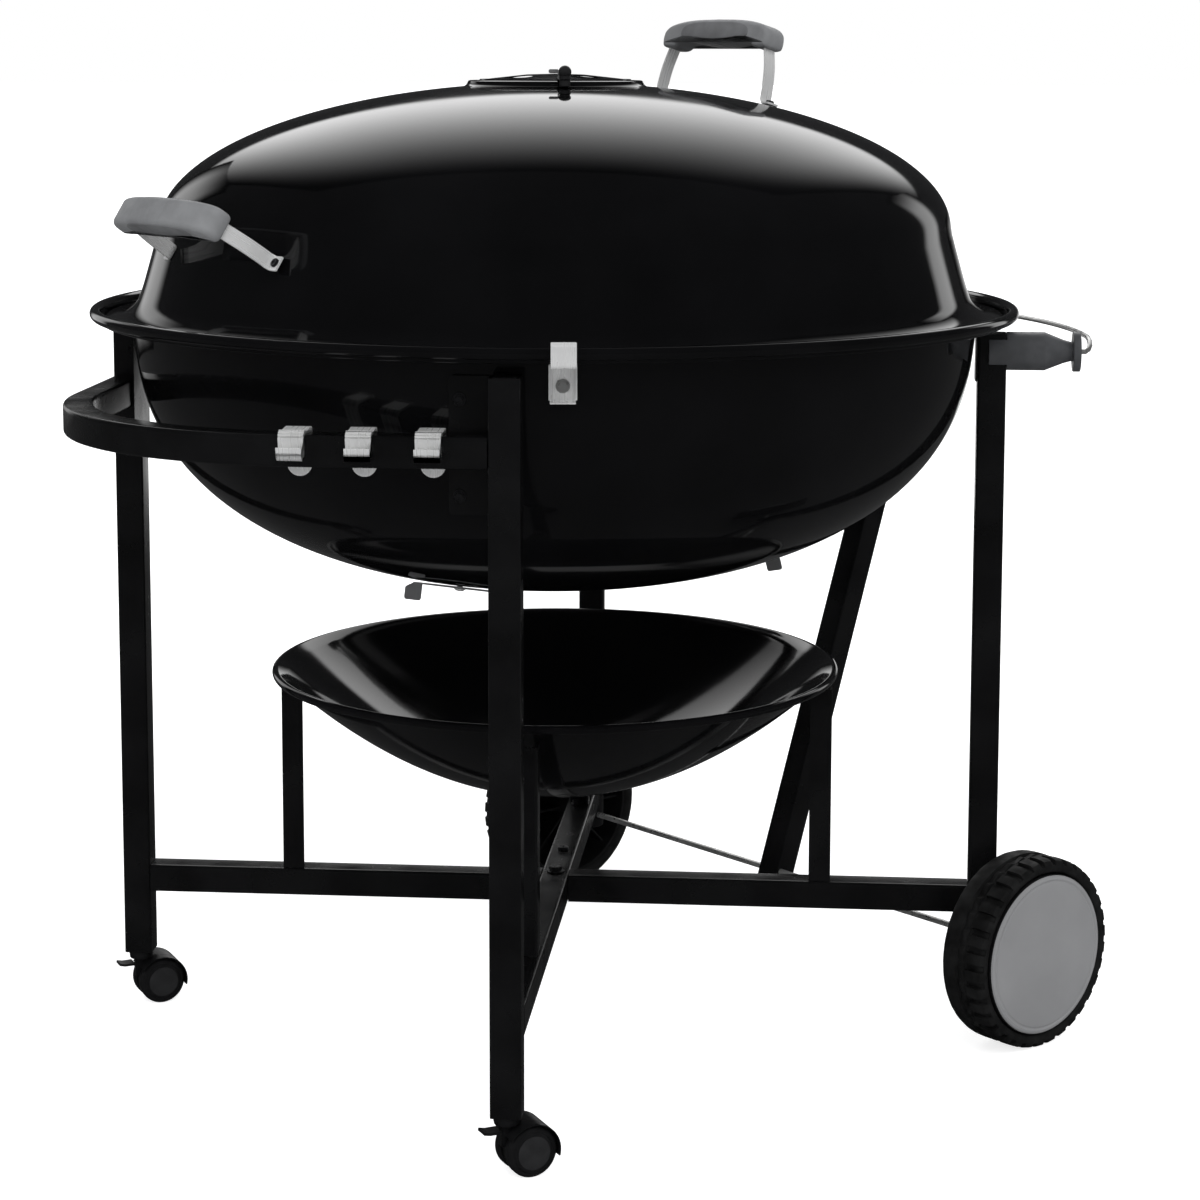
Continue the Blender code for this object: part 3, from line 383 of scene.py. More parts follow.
def rounded_box(width, height, radius, count):
    x, y = width / 2, height / 2
    return rounded([(-x, -y), (x, -y), (x, y), (-x, y)], radius, count, closed=True)


def extrude(outline, depth, edge):
    """A flat closed outline made a plate, centred on Z, with its edges rounded."""
    bm = bmesh.new()
    face = bm.faces.new([bm.verts.new((p[0], p[1], -depth / 2)) for p in outline])
    grown = bmesh.ops.extrude_face_region(bm, geom=[face])["geom"]
    bmesh.ops.translate(bm, vec=(0, 0, depth), verts=[v for v in grown if isinstance(v, bmesh.types.BMVert)])
    bmesh.ops.recalc_face_normals(bm, faces=bm.faces)
    bevel(bm, [e for e in bm.edges if abs(e.verts[0].co.z - e.verts[1].co.z) < 1e-9], edge, 2)
    return new_mesh(bm)


def block(size, edge, segments=3):
    """A box with rounded edges, centred on its own origin."""
    bm = bmesh.new()
    bmesh.ops.create_cube(bm, size=1.0)
    bmesh.ops.scale(bm, vec=size, verts=bm.verts)
    bevel(bm, bm.edges[:], edge, segments)
    return new_mesh(bm)


def joined(parts):
    """One mesh from several, each a mesh or a (mesh, matrix) pair."""
    bm = bmesh.new()
    for part in parts:
        mesh, matrix = part if isinstance(part, tuple) else (part, Matrix.Identity(4))
        part = mesh.copy()
        part.transform(matrix)
        bm.from_mesh(part)
        bpy.data.meshes.remove(part)
    return new_mesh(bm)


def new_object(name, data):
    obj = bpy.data.objects.new(name, data)
    bpy.context.scene.collection.objects.link(obj)
    return obj


def carve(mesh, cutters, operation="DIFFERENCE"):
    """The mesh with each cutter taken away from it, or joined to it."""
    base, tool = new_object("carve_base", mesh), new_object("carve_tool", joined(cutters))
    cut = base.modifiers.new("cut", "BOOLEAN")
    cut.operation = operation
    cut.object = tool
    cut.use_self = True
    bpy.context.view_layer.update()
    graph = bpy.context.evaluated_depsgraph_get()
    result = bpy.data.meshes.new_from_object(base.evaluated_get(graph), depsgraph=graph)
    for obj in (base, tool):
        bpy.data.objects.remove(obj, do_unlink=True)
    return result


def show(name, mesh, material, body, matrix=None, stands_for=(), sharp=32):
    """Put a finished mesh in the scene as a piece that rides on a body."""
    mesh.name = name
    obj = new_object(name, mesh)
    obj.matrix_world = matrix if matrix is not None else Matrix.Identity(4)
    mesh.materials.clear()
    mesh.materials.append(MATERIALS[material])
    mesh.shade_smooth()
    mesh.set_sharp_from_angle(angle=math.radians(sharp))
    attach(obj, body)
    if stands_for:
        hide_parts(*stands_for)


# ---------------------------------------------------------------- fasteners

def pan_head(radius, height):
    """A round screw head with a cross recess, standing on Z = 0."""
    dome = [(radius, 0), (radius, height * 0.35)]
    dome += arc((radius * 0.45, height * 0.35), radius * 0.55, 0, 90, 7)[1:]
    dome = [(r, min(z, height)) for r, z in dome] + [(0, height), (0, 0)]
    arm = block((radius * 1.15, radius * 0.26, height), 0.00005, 1)
    top = Matrix.Translation((0, 0, height))
    return carve(lathe(dome, 32), [(arm, top), (arm, top @ spin(90))])


def hex_head(across, height):
    """A hexagon bolt head on a round washer, standing on Z = 0."""
    washer = puck(across * 0.78, 0, height * 0.25, height * 0.08, 32, 2)
    hexagon = extrude(round_section(across * 0.577, 6), height * 0.8, height * 0.12)
    return joined([washer, (hexagon, Matrix.Translation((0, 0, height * 0.66)))])


def fastener(name, mesh, place, direction, material="bolt", body="frame", **more):
    """A piece that stands on a place and points in a direction."""
    show(name, mesh, material, body, facing(place, direction), sharp=28, **more)


# ---------------------------------------------------------------- kettle

def bowl_height(radius):
    inside = max(0.0, 1 - (radius / BOWL_RADIUS) ** BOWL_ROUND)
    return RIM_TOP - BOWL_DEPTH * inside ** (1 / BOWL_FLAT)


def bowl_normal(radius, degrees):
    step = 0.001
    slope = (bowl_height(radius + step) - bowl_height(radius - step)) / (2 * step)
    return (heading(degrees) * slope - UP).normalized()


# Each bottom vent: its place round the kettle, and how far its tab is turned, in degrees.
DAMPERS = {"left": (-115.3, 64.7), "right": (4.7, 25.0), "back": (124.7, 0.0)}
DAMPER_CIRCLE = 0.190
DAMPER_HOLES = (0.028, 0.0115, 4, 45)


def hole(radius, length=0.03, sides=40):
    return lathe([(0, -length / 2), (radius, -length / 2), (radius, length / 2), (0, length / 2)], sides)


def hole_ring(radius, hole_radius, count, turn):
    """Hole cutters evenly round a circle about Z."""
    cutter = hole(hole_radius)
    out = Matrix.Translation((radius, 0, 0))
    return [(cutter, spin(turn + 360 * i / count) @ out) for i in range(count)]


def damper_place(degrees):
    """The placing matrix of a bottom vent, with Z out of the bowl and X away from the axis."""
    centre = polar(DAMPER_CIRCLE, degrees, bowl_height(DAMPER_CIRCLE))
    return axes_matrix(centre, heading(degrees), bowl_normal(DAMPER_CIRCLE, degrees))


TAB_CIRCLE = 0.4283


def make_bowl():
    """The bowl with its rolled rim, shelf and vent holes, and the tabs that carry the grate."""
    riser = RIM_RADIUS - 2 * BEAD + STEEL
    bead = (RIM_RADIUS - BEAD, RIM_TOP - BEAD)
    curl = arc(bead, BEAD - STEEL, -75, 170, 15)
    shelf = rounded([(riser, bead[1]), (riser, SHELF), (BOWL_RADIUS, SHELF), (BOWL_RADIUS, SHELF - 0.012)],
                    0.0035, 5)
    wall = []
    steps = 44
    for i in range(3, steps + 1):
        angle = i / steps * math.pi / 2
        radius = BOWL_RADIUS * math.cos(angle) ** (2 / BOWL_ROUND) if i < steps else 0.0
        wall.append((radius, RIM_TOP - BOWL_DEPTH * math.sin(angle) ** (2 / BOWL_FLAT)))
    wall = [p for p in wall if p[1] < SHELF - 0.014]
    mesh = lathe(sheet_outline(curl + shelf + wall, STEEL))
    mesh.transform(Matrix.Translation(AXIS))
    cutters = []
    for degrees, _ in DAMPERS.values():
        place = damper_place(degrees)
        cutters += [(m, place @ t) for m, t in hole_ring(*DAMPER_HOLES)]
        cutters.append((hole(0.0032), place))
    mesh = carve(mesh, cutters)
    show("kettle_bowl", mesh, "enamel", "frame", stands_for=["bowl"])
    tab = block((0.029, 0.019, 0.0019), 0.0006)
    for degrees in (45, 135, 225, 315):
        matrix = axes_matrix(polar(TAB_CIRCLE, degrees, RIM_TOP - 0.0303), heading(degrees), UP)
        show(f"grate_tab_{degrees}", tab.copy(), "enamel", "frame", matrix)


def crown_height(radius):
    return LID_SHOULDER + LID_RISE * math.sqrt(max(0.0, 1 - (radius / LID_CROWN) ** 2))


# The lid's wall from its shoulder to its lip: radius and height above the bowl's rim.
LID_WALL = [(0.418, 0.080), (0.4265, 0.049), (0.436, 0.017), (0.4425, 0.003), (0.455, -0.0065),
            (0.4705, -0.0092)]


def lid_outer():
    """The lid's outer face from the flat boss under the vent, over the crown, to the lip."""
    top = LID_HIGH.z
    boss = [(0.0, top), (0.0905, top), (0.0922, top - 0.0007), (0.0928, top - 0.0022), (0.0938, top - 0.0042),
            (0.0965, crown_height(0.0965))]
    crown = []
    for i in range(46):
        degrees = 14.5 + (88.0 - 14.5) * i / 45
        radius = LID_CROWN * math.sin(math.radians(degrees))
        crown.append((radius, crown_height(radius)))
    wall = through([(r, RIM_TOP + z) for r, z in LID_WALL], 7)
    lip = rounded([wall[-1], (0.4738, RIM_TOP - 0.0094), (0.4742, LID_LOW.z)], 0.002, 4)
    return boss + crown + wall[1:-1] + lip


def make_lid():
    mesh = lathe(sheet_outline(lid_outer(), LID_STEEL))
    mesh.transform(Matrix.Translation(AXIS))
    place = Matrix.Translation(AXIS + UP * LID_HIGH.z)
    mesh = carve(mesh, [(m, place @ t) for m, t in hole_ring(0.050, 0.015, 4, 45)])
    show("kettle_lid", mesh, "enamel", "lid", stands_for=["lid"], sharp=40)


VENT_TURN, VENT_REACH = -79.0, 0.1035
KNOB_RADIUS = 0.0067


def make_lid_vent():
    """The turning plate with its arm, the ball knob at the arm's end and a small bright tab."""
    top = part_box("lid_vent_disc")[1].z
    reach = VENT_REACH
    profile = rounded([(0, top + 0.0046), (0.030, top + 0.0038), (0.066, top - 0.0001), (0.072, top - 0.0009),
                       (0.080, top - 0.0010)], 0.010, 5)
    mesh = lathe(sheet_outline(profile, 0.0010), 96)
    mesh = carve(mesh, [(m, Matrix.Translation(UP * top) @ t) for m, t in hole_ring(0.050, 0.016, 4, 45)])
    arm = extrude([(0.073, -0.0064), (reach, -0.0064)] + arc((reach, 0), 0.0064, -60, 60, 9)
                  + [(reach, 0.0064), (0.073, 0.0064)], 0.0011, 0.0002)
    mesh = joined([mesh, (arm, spin(VENT_TURN) @ Matrix.Translation((0, 0, top - 0.0007)))])
    show("lid_vent_plate", mesh, "enamel", "lid_vent", Matrix.Translation(AXIS), ["lid_vent_disc"])
    centre = (0.0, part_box("lid_vent_knob")[1].z - KNOB_RADIUS)
    foot = crown_height(reach) + 0.0014
    stem = rounded([(0.0056, centre[1] - 0.0040), (0.0056, foot), (0, foot)], 0.0008, 3)
    mesh = lathe(arc(centre, KNOB_RADIUS, 90, -36, 18) + stem, 40)
    place = polar(reach, VENT_TURN)
    show("lid_vent_ball", mesh, "disc", "lid_vent", Matrix.Translation(place), ["lid_vent_knob"])
    web = block((0.0012, 0.0060, 0.0088), 0.0003, 2)
    tab = block((0.0100, 0.0060, 0.0042), 0.0008, 2)
    parts = [(web, Matrix.Translation((-0.0066, 0, top + 0.0042))),
             (tab, Matrix.Translation((-0.0115, 0, top + 0.0078)))]
    show("lid_vent_tab", joined(parts), "aluminium", "lid_vent", Matrix.Translation(place))


def make_dampers():
    for side, (degrees, tab_turn) in DAMPERS.items():
        place = damper_place(degrees)
        body = f"damper_{side}"
        disc = carve(puck(0.048, 0.0008, 0.0024, 0.0005, 72), hole_ring(*DAMPER_HOLES) + [hole(0.0034)])
        fin = [(0.0385, 0.0010), (0.0474, 0.0010), (0.0560, 0.0062), (0.0560, 0.0193), (0.0385, 0.0193)]
        tab = extrude(rounded(fin, 0.0030, 5, True), 0.0016, 0.0004)
        whole = joined([disc, (tab, spin(tab_turn) @ spin(90, "X"))])
        show(f"damper_plate_{side}", whole, "aluminium", body, place, [f"bottom_damper_{side}"])
        rivet = [(0, 0.0052), (0.0035, 0.0048), (0.0062, 0.0027), (0.0030, 0.0027), (0.0030, -0.0045),
                 (0.0062, -0.0045), (0.0050, -0.0063), (0, -0.0065)]
        show(f"damper_pin_{side}", lathe(rivet, 32), "plated", "frame", place,
             [f"damper_rivet_{side}"])


# ---------------------------------------------------------------- lid handles

# The right half of a grip and of its inset, in shares of half the length and of the thickness.
GRIP_SIDE = [(0.0, 0.50), (0.40, 0.475), (0.66, 0.40), (0.86, 0.26), (0.965, 0.06), (1.0, -0.22),
             (0.992, -0.54), (0.955, -0.66), (0.84, -0.68), (0.755, -0.65), (0.690, -0.53), (0.60, -0.44),
             (0.44, -0.43), (0.22, -0.49), (0.0, -0.52)]

GRIP_INSET = [(0.0, 0.37), (0.30, 0.355), (0.50, 0.285), (0.615, 0.12), (0.640, -0.12), (0.600, -0.25),
              (0.44, -0.26), (0.22, -0.33), (0.0, -0.36)]
STRAP_STEEL, STRAP_WIDTH = 0.0022, 0.0158


def grip_outline(length, thickness, shares):
    """The side view of a grip or its inset, from its right half in shares of its size."""
    right = through([(x * length / 2, z * thickness) for x, z in shares], 4)
    return right + [(-x, z) for x, z in right[-2:0:-1]]


def soft_slab(outline, depth, radius, count=5):
    """A clockwise outline in XZ carried through a depth along Y, its two rims rounded over."""
    size = len(outline)
    normals = []
    for i in range(size):
        along = Vector(outline[(i + 1) % size]) - Vector(outline[i - 1])
        normals.append(Vector((-along.y, along.x)).normalized())
    turns = [math.radians(90 * i / count) for i in range(count + 1)]
    rows = [(radius * (1 - math.sin(a)), radius * (1 - math.cos(a)) - depth / 2) for a in turns]
    rows += [(inset, -y) for inset, y in reversed(rows)]
    verts = []
    for inset, y in rows:
        for point, normal in zip(outline, normals):
            spot = Vector(point) - normal * inset
            verts.append((spot.x, y, spot.y))
    return mesh_from(verts, band_faces(len(rows), size, False) + end_faces(len(rows), size))


def lid_drop(spot, out):
    """How far below a point, against the handle's own direction, the lid's surface lies."""
    for step in range(120):
        lower = spot - out * (0.0002 * step) - AXIS
        if lower.z <= crown_height(math.hypot(lower.x, lower.y)):
            return 0.0002 * step
    return 0.0


def foot_mesh(turn, out, spots):
    """A spacer between a strap's foot and the lid: its underside follows the lid."""
    tops = [Vector(p) for p in spots]
    lows = [p - UP * (lid_drop(turn @ p, out) + 0.0004) for p in tops]
    faces = [[0, 1, 2, 3], [4, 7, 6, 5], [0, 4, 5, 1], [1, 5, 6, 2], [2, 6, 7, 3], [3, 7, 4, 0]]
    bm = bmesh.new()
    bm.from_mesh(mesh_from(tops + lows, faces))
    bevel(bm, bm.edges[:], 0.0007, 2)
    return new_mesh(bm)


def make_lid_handle(name, degrees, elevation):
    """Two flat straps bolted to the lid on spacers and a grip between their ends."""
    rise = math.radians(elevation)
    out = heading(degrees) * math.cos(rise) + UP * math.sin(rise)
    turn = axes_matrix(Vector((0, 0, 0)), heading(degrees + 90), out)
    inverse = turn.inverted()
    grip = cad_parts[f"{name}_grip"]
    corners = [inverse @ v.co for v in grip.data.vertices]
    low = Vector([min(c[i] for c in corners) for i in range(3)])
    high = Vector([max(c[i] for c in corners) for i in range(3)])
    size, centre = high - low, (high + low) / 2
    place = turn @ Matrix.Translation(centre)
    body = soft_slab(grip_outline(size.x, size.z, GRIP_SIDE), size.y, 0.0055)
    show(f"{name}_hand_grip", body, "grip", "lid", place, [f"{name}_grip"], sharp=50)
    inset = soft_slab(grip_outline(size.x, size.z, GRIP_INSET), size.y + 0.0012, 0.0012, 3)
    show(f"{name}_grip_panel", inset, "panel", "lid", place, sharp=50)
    for side, sign in SIDES:
        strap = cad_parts[f"{name}_strap_{side}"]
        spots = [inverse @ v.co for v in strap.data.vertices]
        base = min(p.z for p in spots)
        top = max(p.z for p in spots)
        middle = sum(p.y for p in spots) / len(spots)
        reach = max(abs(p.x) for p in spots)
        foot = [(reach, base + 0.0004), (reach - 0.0110, base + 0.0004), (reach - 0.0142, base + 0.0060)]
        bow = through([foot[-1], (reach - 0.0148, base + 0.020), (reach - 0.0178, top - 0.024),
                       (reach - 0.0262, top + 0.004)], 7)
        path = rounded(foot, 0.0035, 5) + bow[1:]
        strip = extrude(sheet_outline(path, STRAP_STEEL), STRAP_WIDTH, 0.0005)
        strip.transform(spin(90, "X"))
        strip.transform(Matrix.Scale(sign, 4, (1, 0, 0)))
        strip = outward(strip)
        strip.transform(Matrix.Translation((0, middle, 0)))
        show(f"{name}_steel_strap_{side}", strip, "plated", "lid", turn, [f"{name}_strap_{side}"])
        pad = [(sign * (reach - dx), middle + dy, base + 0.0003)
               for dx, dy in ((0.0002, -0.0078), (0.0002, 0.0078), (0.0125, 0.0078), (0.0125, -0.0078))]
        show(f"{name}_spacer_{side}", foot_mesh(turn, out, pad), "plastic", "lid", turn)
        spot = turn @ Vector((sign * (reach - 0.0055), middle, base + 0.0026))
        fastener(f"{name}_rivet_{side}", pan_head(0.0046, 0.0026), spot, out, body="lid")


# ---------------------------------------------------------------- grates

def rod(start, end, radius):
    return sweep([start, end], round_section(radius, 12))


def chord_rods(radius, spots, height):
    """Straight rods along Y at the given X places, each ending on a round of that radius."""
    halves = [math.sqrt(max(0.0, radius ** 2 - x ** 2)) for x in spots]
    return [rod(kettle(x, -half, height), kettle(x, half, height), ROD) for x, half in zip(spots, halves)]


def cross_rods(start, end, y, height):
    """Two straight rods along X between two X places, at Y and at minus Y."""
    return [rod(kettle(start, place, height), kettle(end, place, height), ROD) for place in (-y, y)]


def ring_rod(radius, height, rod_radius, start=0.0, end=360.0, steps=60):
    closed = end - start >= 360
    count = steps if closed else steps + 1
    points = [polar(radius, start + (end - start) * i / steps, height) for i in range(count)]
    return sweep(points, round_section(rod_radius, 12), closed)


ROD, RING = 0.0024, 0.0030


def make_cooking_grate():
    low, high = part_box("cooking_grate")
    height = (low.z + high.z) / 2
    radius = (high.y - low.y) / 2 - RING
    chord = (high.x - low.x) / 2
    edge = math.degrees(math.acos((chord - RING) / radius))
    parts = chord_rods(radius, [(-1 + 2 * i / 16) * (chord - RING) for i in range(17)], height)
    parts += [ring_rod(radius, height, RING, start + edge, start + 180 - edge) for start in (0, 180)]
    parts += cross_rods(-chord + 0.002, chord - 0.002, 0.17, low.z + ROD * 0.2)
    show("cooking_grate_rods", joined(parts), "grate", "frame", stands_for=["cooking_grate"])
    for side, sign in SIDES:
        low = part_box(f"grate_flap_{side}")[0]
        inner = chord + 0.0055
        turn = math.degrees(math.acos(inner / radius))
        middle = 0 if sign > 0 else 180
        spots = [sign * (inner + (radius - inner - 0.02) * i / 6) for i in range(7)]
        parts = chord_rods(radius, spots, height)
        parts.append(ring_rod(radius, height, RING, middle - turn, middle + turn))
        parts += cross_rods(sign * inner, sign * (radius - 0.045), 0.13, low.z + ROD * 0.2)
        show(f"grate_flap_rods_{side}", joined(parts), "grate", f"flap_{side}",
             stands_for=[f"grate_flap_{side}"])


def make_charcoal_grate():
    low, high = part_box("charcoal_grate")
    radius = (high.x - low.x) / 2 - 0.0042
    height = (low.z + high.z) / 2
    parts = []
    for i in range(19):
        y = (-1 + 2 * i / 18) * (radius - 0.014)
        half = math.sqrt(radius ** 2 - y ** 2)
        parts.append(rod(kettle(-half, y, height), kettle(half, y, height), 0.0038))
    parts.append(ring_rod(radius, height, 0.0040, steps=120))
    show("charcoal_grate_rods", joined(parts), "grate", "frame", stands_for=["charcoal_grate"])


# ---------------------------------------------------------------- ash catcher

def make_ash_catcher():
    rim, top = ASH_RADIUS, ASH_HIGH.z
    depth = top - ASH_LOW.z - 0.002
    inner = rim - 0.007
    curl = arc((rim - 0.0032, top - 0.0034), 0.0032, -80, 120, 12)
    wall = []
    for i in range(1, 40):
        share = 1 - i / 39
        wall.append((inner * share, top - 0.002 - depth * (1 - share ** 2)))
    mesh = lathe(sheet_outline(curl + wall, 0.0012))
    show("ash_dish", mesh, "enamel", "ash_catcher", Matrix.Translation(AXIS), ["ash_catcher"], sharp=45)


def make_ash_posts():
    half = 0.0117
    corner = rounded([(half, -half), (-half, -half), (-half, half)], 0.0025, 5)
    outline = sheet_outline(corner, 0.002)
    turns = {"left": 0, "front": 90, "right": 90, "back": 180}
    for side, turn in turns.items():
        low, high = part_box(f"ash_post_{side}")
        centre = (low + high) / 2
        mesh = extrude(outline, high.z - low.z, 0.0003)
        matrix = Matrix.Translation(centre) @ spin(turn)
        show(f"dish_post_{side}", mesh, "paint", "frame", matrix, [f"ash_post_{side}"])
        foot = matrix @ Vector((0.0035, 0.0035, low.z - centre.z))
        fastener(f"dish_post_bolt_{side}", hex_head(0.008, 0.005), foot, UP)


# ---------------------------------------------------------------- frame

def tube_mesh(length):
    """A square tube along Z, centred, open at both ends."""
    edge, wall = 0.0032, 0.0016
    outer = rounded_box(TUBE, TUBE, edge, 6)
    inner = rounded_box(TUBE - 2 * wall, TUBE - 2 * wall, edge * 0.6, 6)
    verts = []
    for loop, end in ((outer, -1), (outer, 1), (inner, 1), (inner, -1)):
        verts += [(x, y, end * length / 2) for x, y in loop]
    return mesh_from(verts, band_faces(4, len(outer), True))


def make_legs():
    for side in LEG_ANGLES:
        low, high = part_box(f"leg_{side}")
        centre = (low + high) / 2
        show(f"frame_leg_{side}", tube_mesh(high.z - low.z), "paint", "frame", Matrix.Translation(centre),
             [f"leg_{side}"], sharp=40)
        cap = block((TUBE - 0.004, TUBE - 0.004, 0.010), 0.002)
        place = Matrix.Translation((centre.x, centre.y, high.z - 0.0046))
        show(f"leg_cap_{side}", cap, "plastic", "frame", place)


def make_crossbars():
    for node, direction in (("crossbar_front_back", (0, 1, 0)), ("crossbar_left", (1, 0, 0)),
                            ("crossbar_right", (1, 0, 0))):
        low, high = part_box(node)
        mesh = tube_mesh(max(high.x - low.x, high.y - low.y))
        matrix = axes_matrix((low + high) / 2, UP, direction)
        show(f"frame_{node}", mesh, "paint", "frame", matrix, [node], sharp=40)
    fastener("crossbar_bolt_back", pan_head(0.0062, 0.0036), kettle(0.0, 0.088, BAR_TOP), UP)
    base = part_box("centre_bolt")[0].z
    fastener("crossbar_bolt", hex_head(0.0125, 0.0055), kettle(0, 0, base), UP,
             stands_for=["centre_bolt"])


def make_tow_handle():
    bend = TOW_BEND
    centre = -LEG_RADIUS + bend
    start = -TUBE / 2 - GAP
    path = [kettle(start, -LEG_RADIUS, TOW_HEIGHT)]
    path += [kettle(start + (centre - start) * i / 6, -LEG_RADIUS, TOW_HEIGHT) for i in range(1, 6)]
    for i in range(49):
        angle = math.radians(-90 - 90 * i / 48)
        path.append(kettle(centre + bend * math.cos(angle), centre + bend * math.sin(angle), TOW_HEIGHT))
    path += [kettle(-LEG_RADIUS, centre + (start - centre) * i / 6, TOW_HEIGHT) for i in range(1, 7)]
    mesh = sweep(path, rounded_box(TUBE, TUBE, 0.0040, 6))
    show("tow_handle_tube", mesh, "paint", "frame", stands_for=["tow_handle"], sharp=40)


def strap_mesh(points, width, thickness, radius, edge=0.0004, side=1.0):
    """A strip bent in its XZ plane, its corners rounded, centred on Y."""
    mesh = extrude(sheet_outline(rounded(points, radius, 6), thickness, side), width, edge)
    mesh.transform(spin(90, "X"))
    return mesh


def make_tool_hooks():
    """Strips over the tow handle with a hook in front and a rounded tongue behind."""
    face = TUBE / 2 + 0.0006
    crest = rounded([(-face, -0.004), (-face, face), (face, face), (face, -0.0005)], 0.0025, 5)
    front = rounded([(face, -0.0005), (face + 0.0022, -0.0034), (face + 0.0076, -0.0040),
                     (face + 0.0112, -0.0016), (face + 0.0124, 0.0045)], 0.003, 5)
    plate = [(-0.0119, 0.0), (0.0119, 0.0)] + arc((0, -0.0153), 0.0119, 0, -180, 21)
    for number in (1, 2, 3):
        low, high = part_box(f"tool_hook_{number}")
        x = (low.x + high.x) / 2 - AXIS.x
        turn = math.asin(max(0.0, TOW_BEND - LEG_RADIUS - x) / TOW_BEND)
        y = -LEG_RADIUS + TOW_BEND * (1 - math.cos(turn))
        out = Vector((-math.sin(turn), -math.cos(turn), 0))
        strip = strap_mesh(crest + front[1:], 0.0238, 0.0014, 0.0)
        tongue = extrude(plate, 0.0014, 0.0004)
        stand = axes_matrix(Vector((-face - 0.0007, 0, 0)), (0, 1, 0), (1, 0, 0))
        mesh = joined([strip, (tongue, stand)])
        matrix = axes_matrix(kettle(x, y, TOW_HEIGHT), out, UP)
        show(f"tool_hook_strip_{number}", mesh, "plated", "frame", matrix, [f"tool_hook_{number}"])


def make_spools():
    for side, degrees in (("right", 0), ("back", 90)):
        low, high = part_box(f"lid_rest_spool_{side}")
        height = (low.z + high.z) / 2
        out = heading(degrees)
        length = (high - low).dot(Vector((abs(out.x), abs(out.y), 0)))
        sleeve = 0.019
        end = length - sleeve
        profile = [(0, end), (0.0213, end), (0.0213, end - 0.0080), (0.0100, end - 0.0088),
                   (0.0125, end - 0.018), (0.0203, 0.0400), (0.0203, -sleeve), (0, -sleeve)]
        mesh = lathe(rounded(profile, 0.0012, 4), 72)
        matrix = facing(polar(LEG_RADIUS + TUBE / 2, degrees, height), out)
        slot = block((TUBE + 0.0008, TUBE + 0.0008, 0.08), 0.0001, 1)
        mesh.transform(matrix)
        mesh = carve(mesh, [(slot, Matrix.Translation(polar(LEG_RADIUS, degrees, height)))])
        show(f"lid_rest_{side}", mesh, "spool", "frame", stands_for=[f"lid_rest_spool_{side}"])
        pin = polar(LEG_RADIUS + TUBE / 2 + end - 0.001, degrees, height)
        washer = puck(0.0075, 0, 0.0012, 0.0003, 32, 2)
        fastener(f"lid_rest_washer_{side}", washer, pin, out, "plated")


WIRE = 0.0028


def wire_path():
    """The guard wire from one spool, out over the strut and back to the other spool."""
    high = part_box("lid_rest_wire")[1]
    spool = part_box("lid_rest_spool_right")
    height = (spool[0].z + spool[1].z) / 2
    level = high.z - WIRE
    start = spool[1].x - AXIS.x + 0.0003
    lead = [(start, 0.0, height), (start + 0.005, 0.0, height), (start + 0.009, 0.0025, height + 0.001),
            (start + 0.0115, 0.009, height + 0.005), (start + 0.0115, 0.020, level - 0.001)]
    points = [Vector(p) for p in lead]
    near_end = 0.567
    grown = wire_reach() - near_end
    for i in range(61):
        degrees = 4.0 + 82.0 * i / 60
        radius = near_end + grown * math.sin(math.radians(2 * degrees)) ** 2
        points.append(polar(radius, degrees, level) - AXIS)
    points += [Vector((y, x, z)) for x, y, z in reversed(lead)]
    smooth = []
    for i, p in enumerate(points):
        near = points[max(0, i - 1):i + 2]
        smooth.append(sum(near, Vector()) / len(near) if 1 < i < len(points) - 2 else p)
    return [kettle(*p) for p in smooth]


def wire_reach():
    """How far the wire stands from the kettle's axis where it lies on the strut."""
    spots = [v.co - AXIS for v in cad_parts["lid_rest_wire"].data.vertices]
    near = [math.hypot(p.x, p.y) for p in spots if abs(math.degrees(math.atan2(p.y, p.x)) - 45) < 3]
    return (max(near) + min(near)) / 2 + 0.0004


def make_lid_rest_wire():
    mesh = sweep(wire_path(), round_section(0.0027, 14))
    show("lid_rest_guard_wire", mesh, "wire", "frame", stands_for=["lid_rest_wire"], sharp=60)


STRUT_RADIUS, STRUT_LEAN = 0.3357, 0.3447
STRUT_FOOT, STRUT_TOP = 0.088, 0.764


def strut_axes():
    """The directions along the strut and square out from its outer face."""
    lean = (heading(45) * STRUT_LEAN + UP).normalized()
    return lean, heading(135).cross(lean).normalized()


def strut_point(height):
    return polar(STRUT_RADIUS + STRUT_LEAN * (height - WHEEL_RADIUS), 45, height)


def make_strut():
    lean, across = strut_axes()[0], heading(135)
    foot, top = strut_point(STRUT_FOOT), strut_point(STRUT_TOP)
    mesh = tube_mesh((top - foot).length)
    matrix = axes_matrix((foot + top) / 2, across, lean)
    show("lid_rest_strut_tube", mesh, "paint", "frame", matrix, ["lid_rest_strut"], sharp=40)
    cap = block((TUBE - 0.004, TUBE - 0.004, 0.012), 0.002)
    show("strut_cap", cap, "plastic", "frame", axes_matrix(top - lean * 0.005, across, lean))


def make_wire_clip():
    lean, out = strut_axes()
    reach = wire_reach()
    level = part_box("lid_rest_wire")[1].z - WIRE
    centre = polar(reach, 45, level) - out * 0.0004
    wrap = WIRE + 0.0010
    face = -(WIRE + 0.0001)
    points = [(face, -0.0185), (face, -wrap)] + arc((0, 0), wrap, -90, 90, 11) + [(face, wrap), (face, 0.008)]
    mesh = extrude(sheet_outline(points, 0.0011, 1.0), 0.0136, 0.0002)
    mesh.transform(spin(90, "X"))
    matrix = axes_matrix(centre, out, lean)
    show("wire_saddle", mesh, "plated", "frame", matrix, ["wire_clip"])
    screw = matrix @ Vector((face - 0.0002, 0, -0.0125))
    fastener("wire_saddle_screw", pan_head(0.0038, 0.0022), screw, out, "plated")


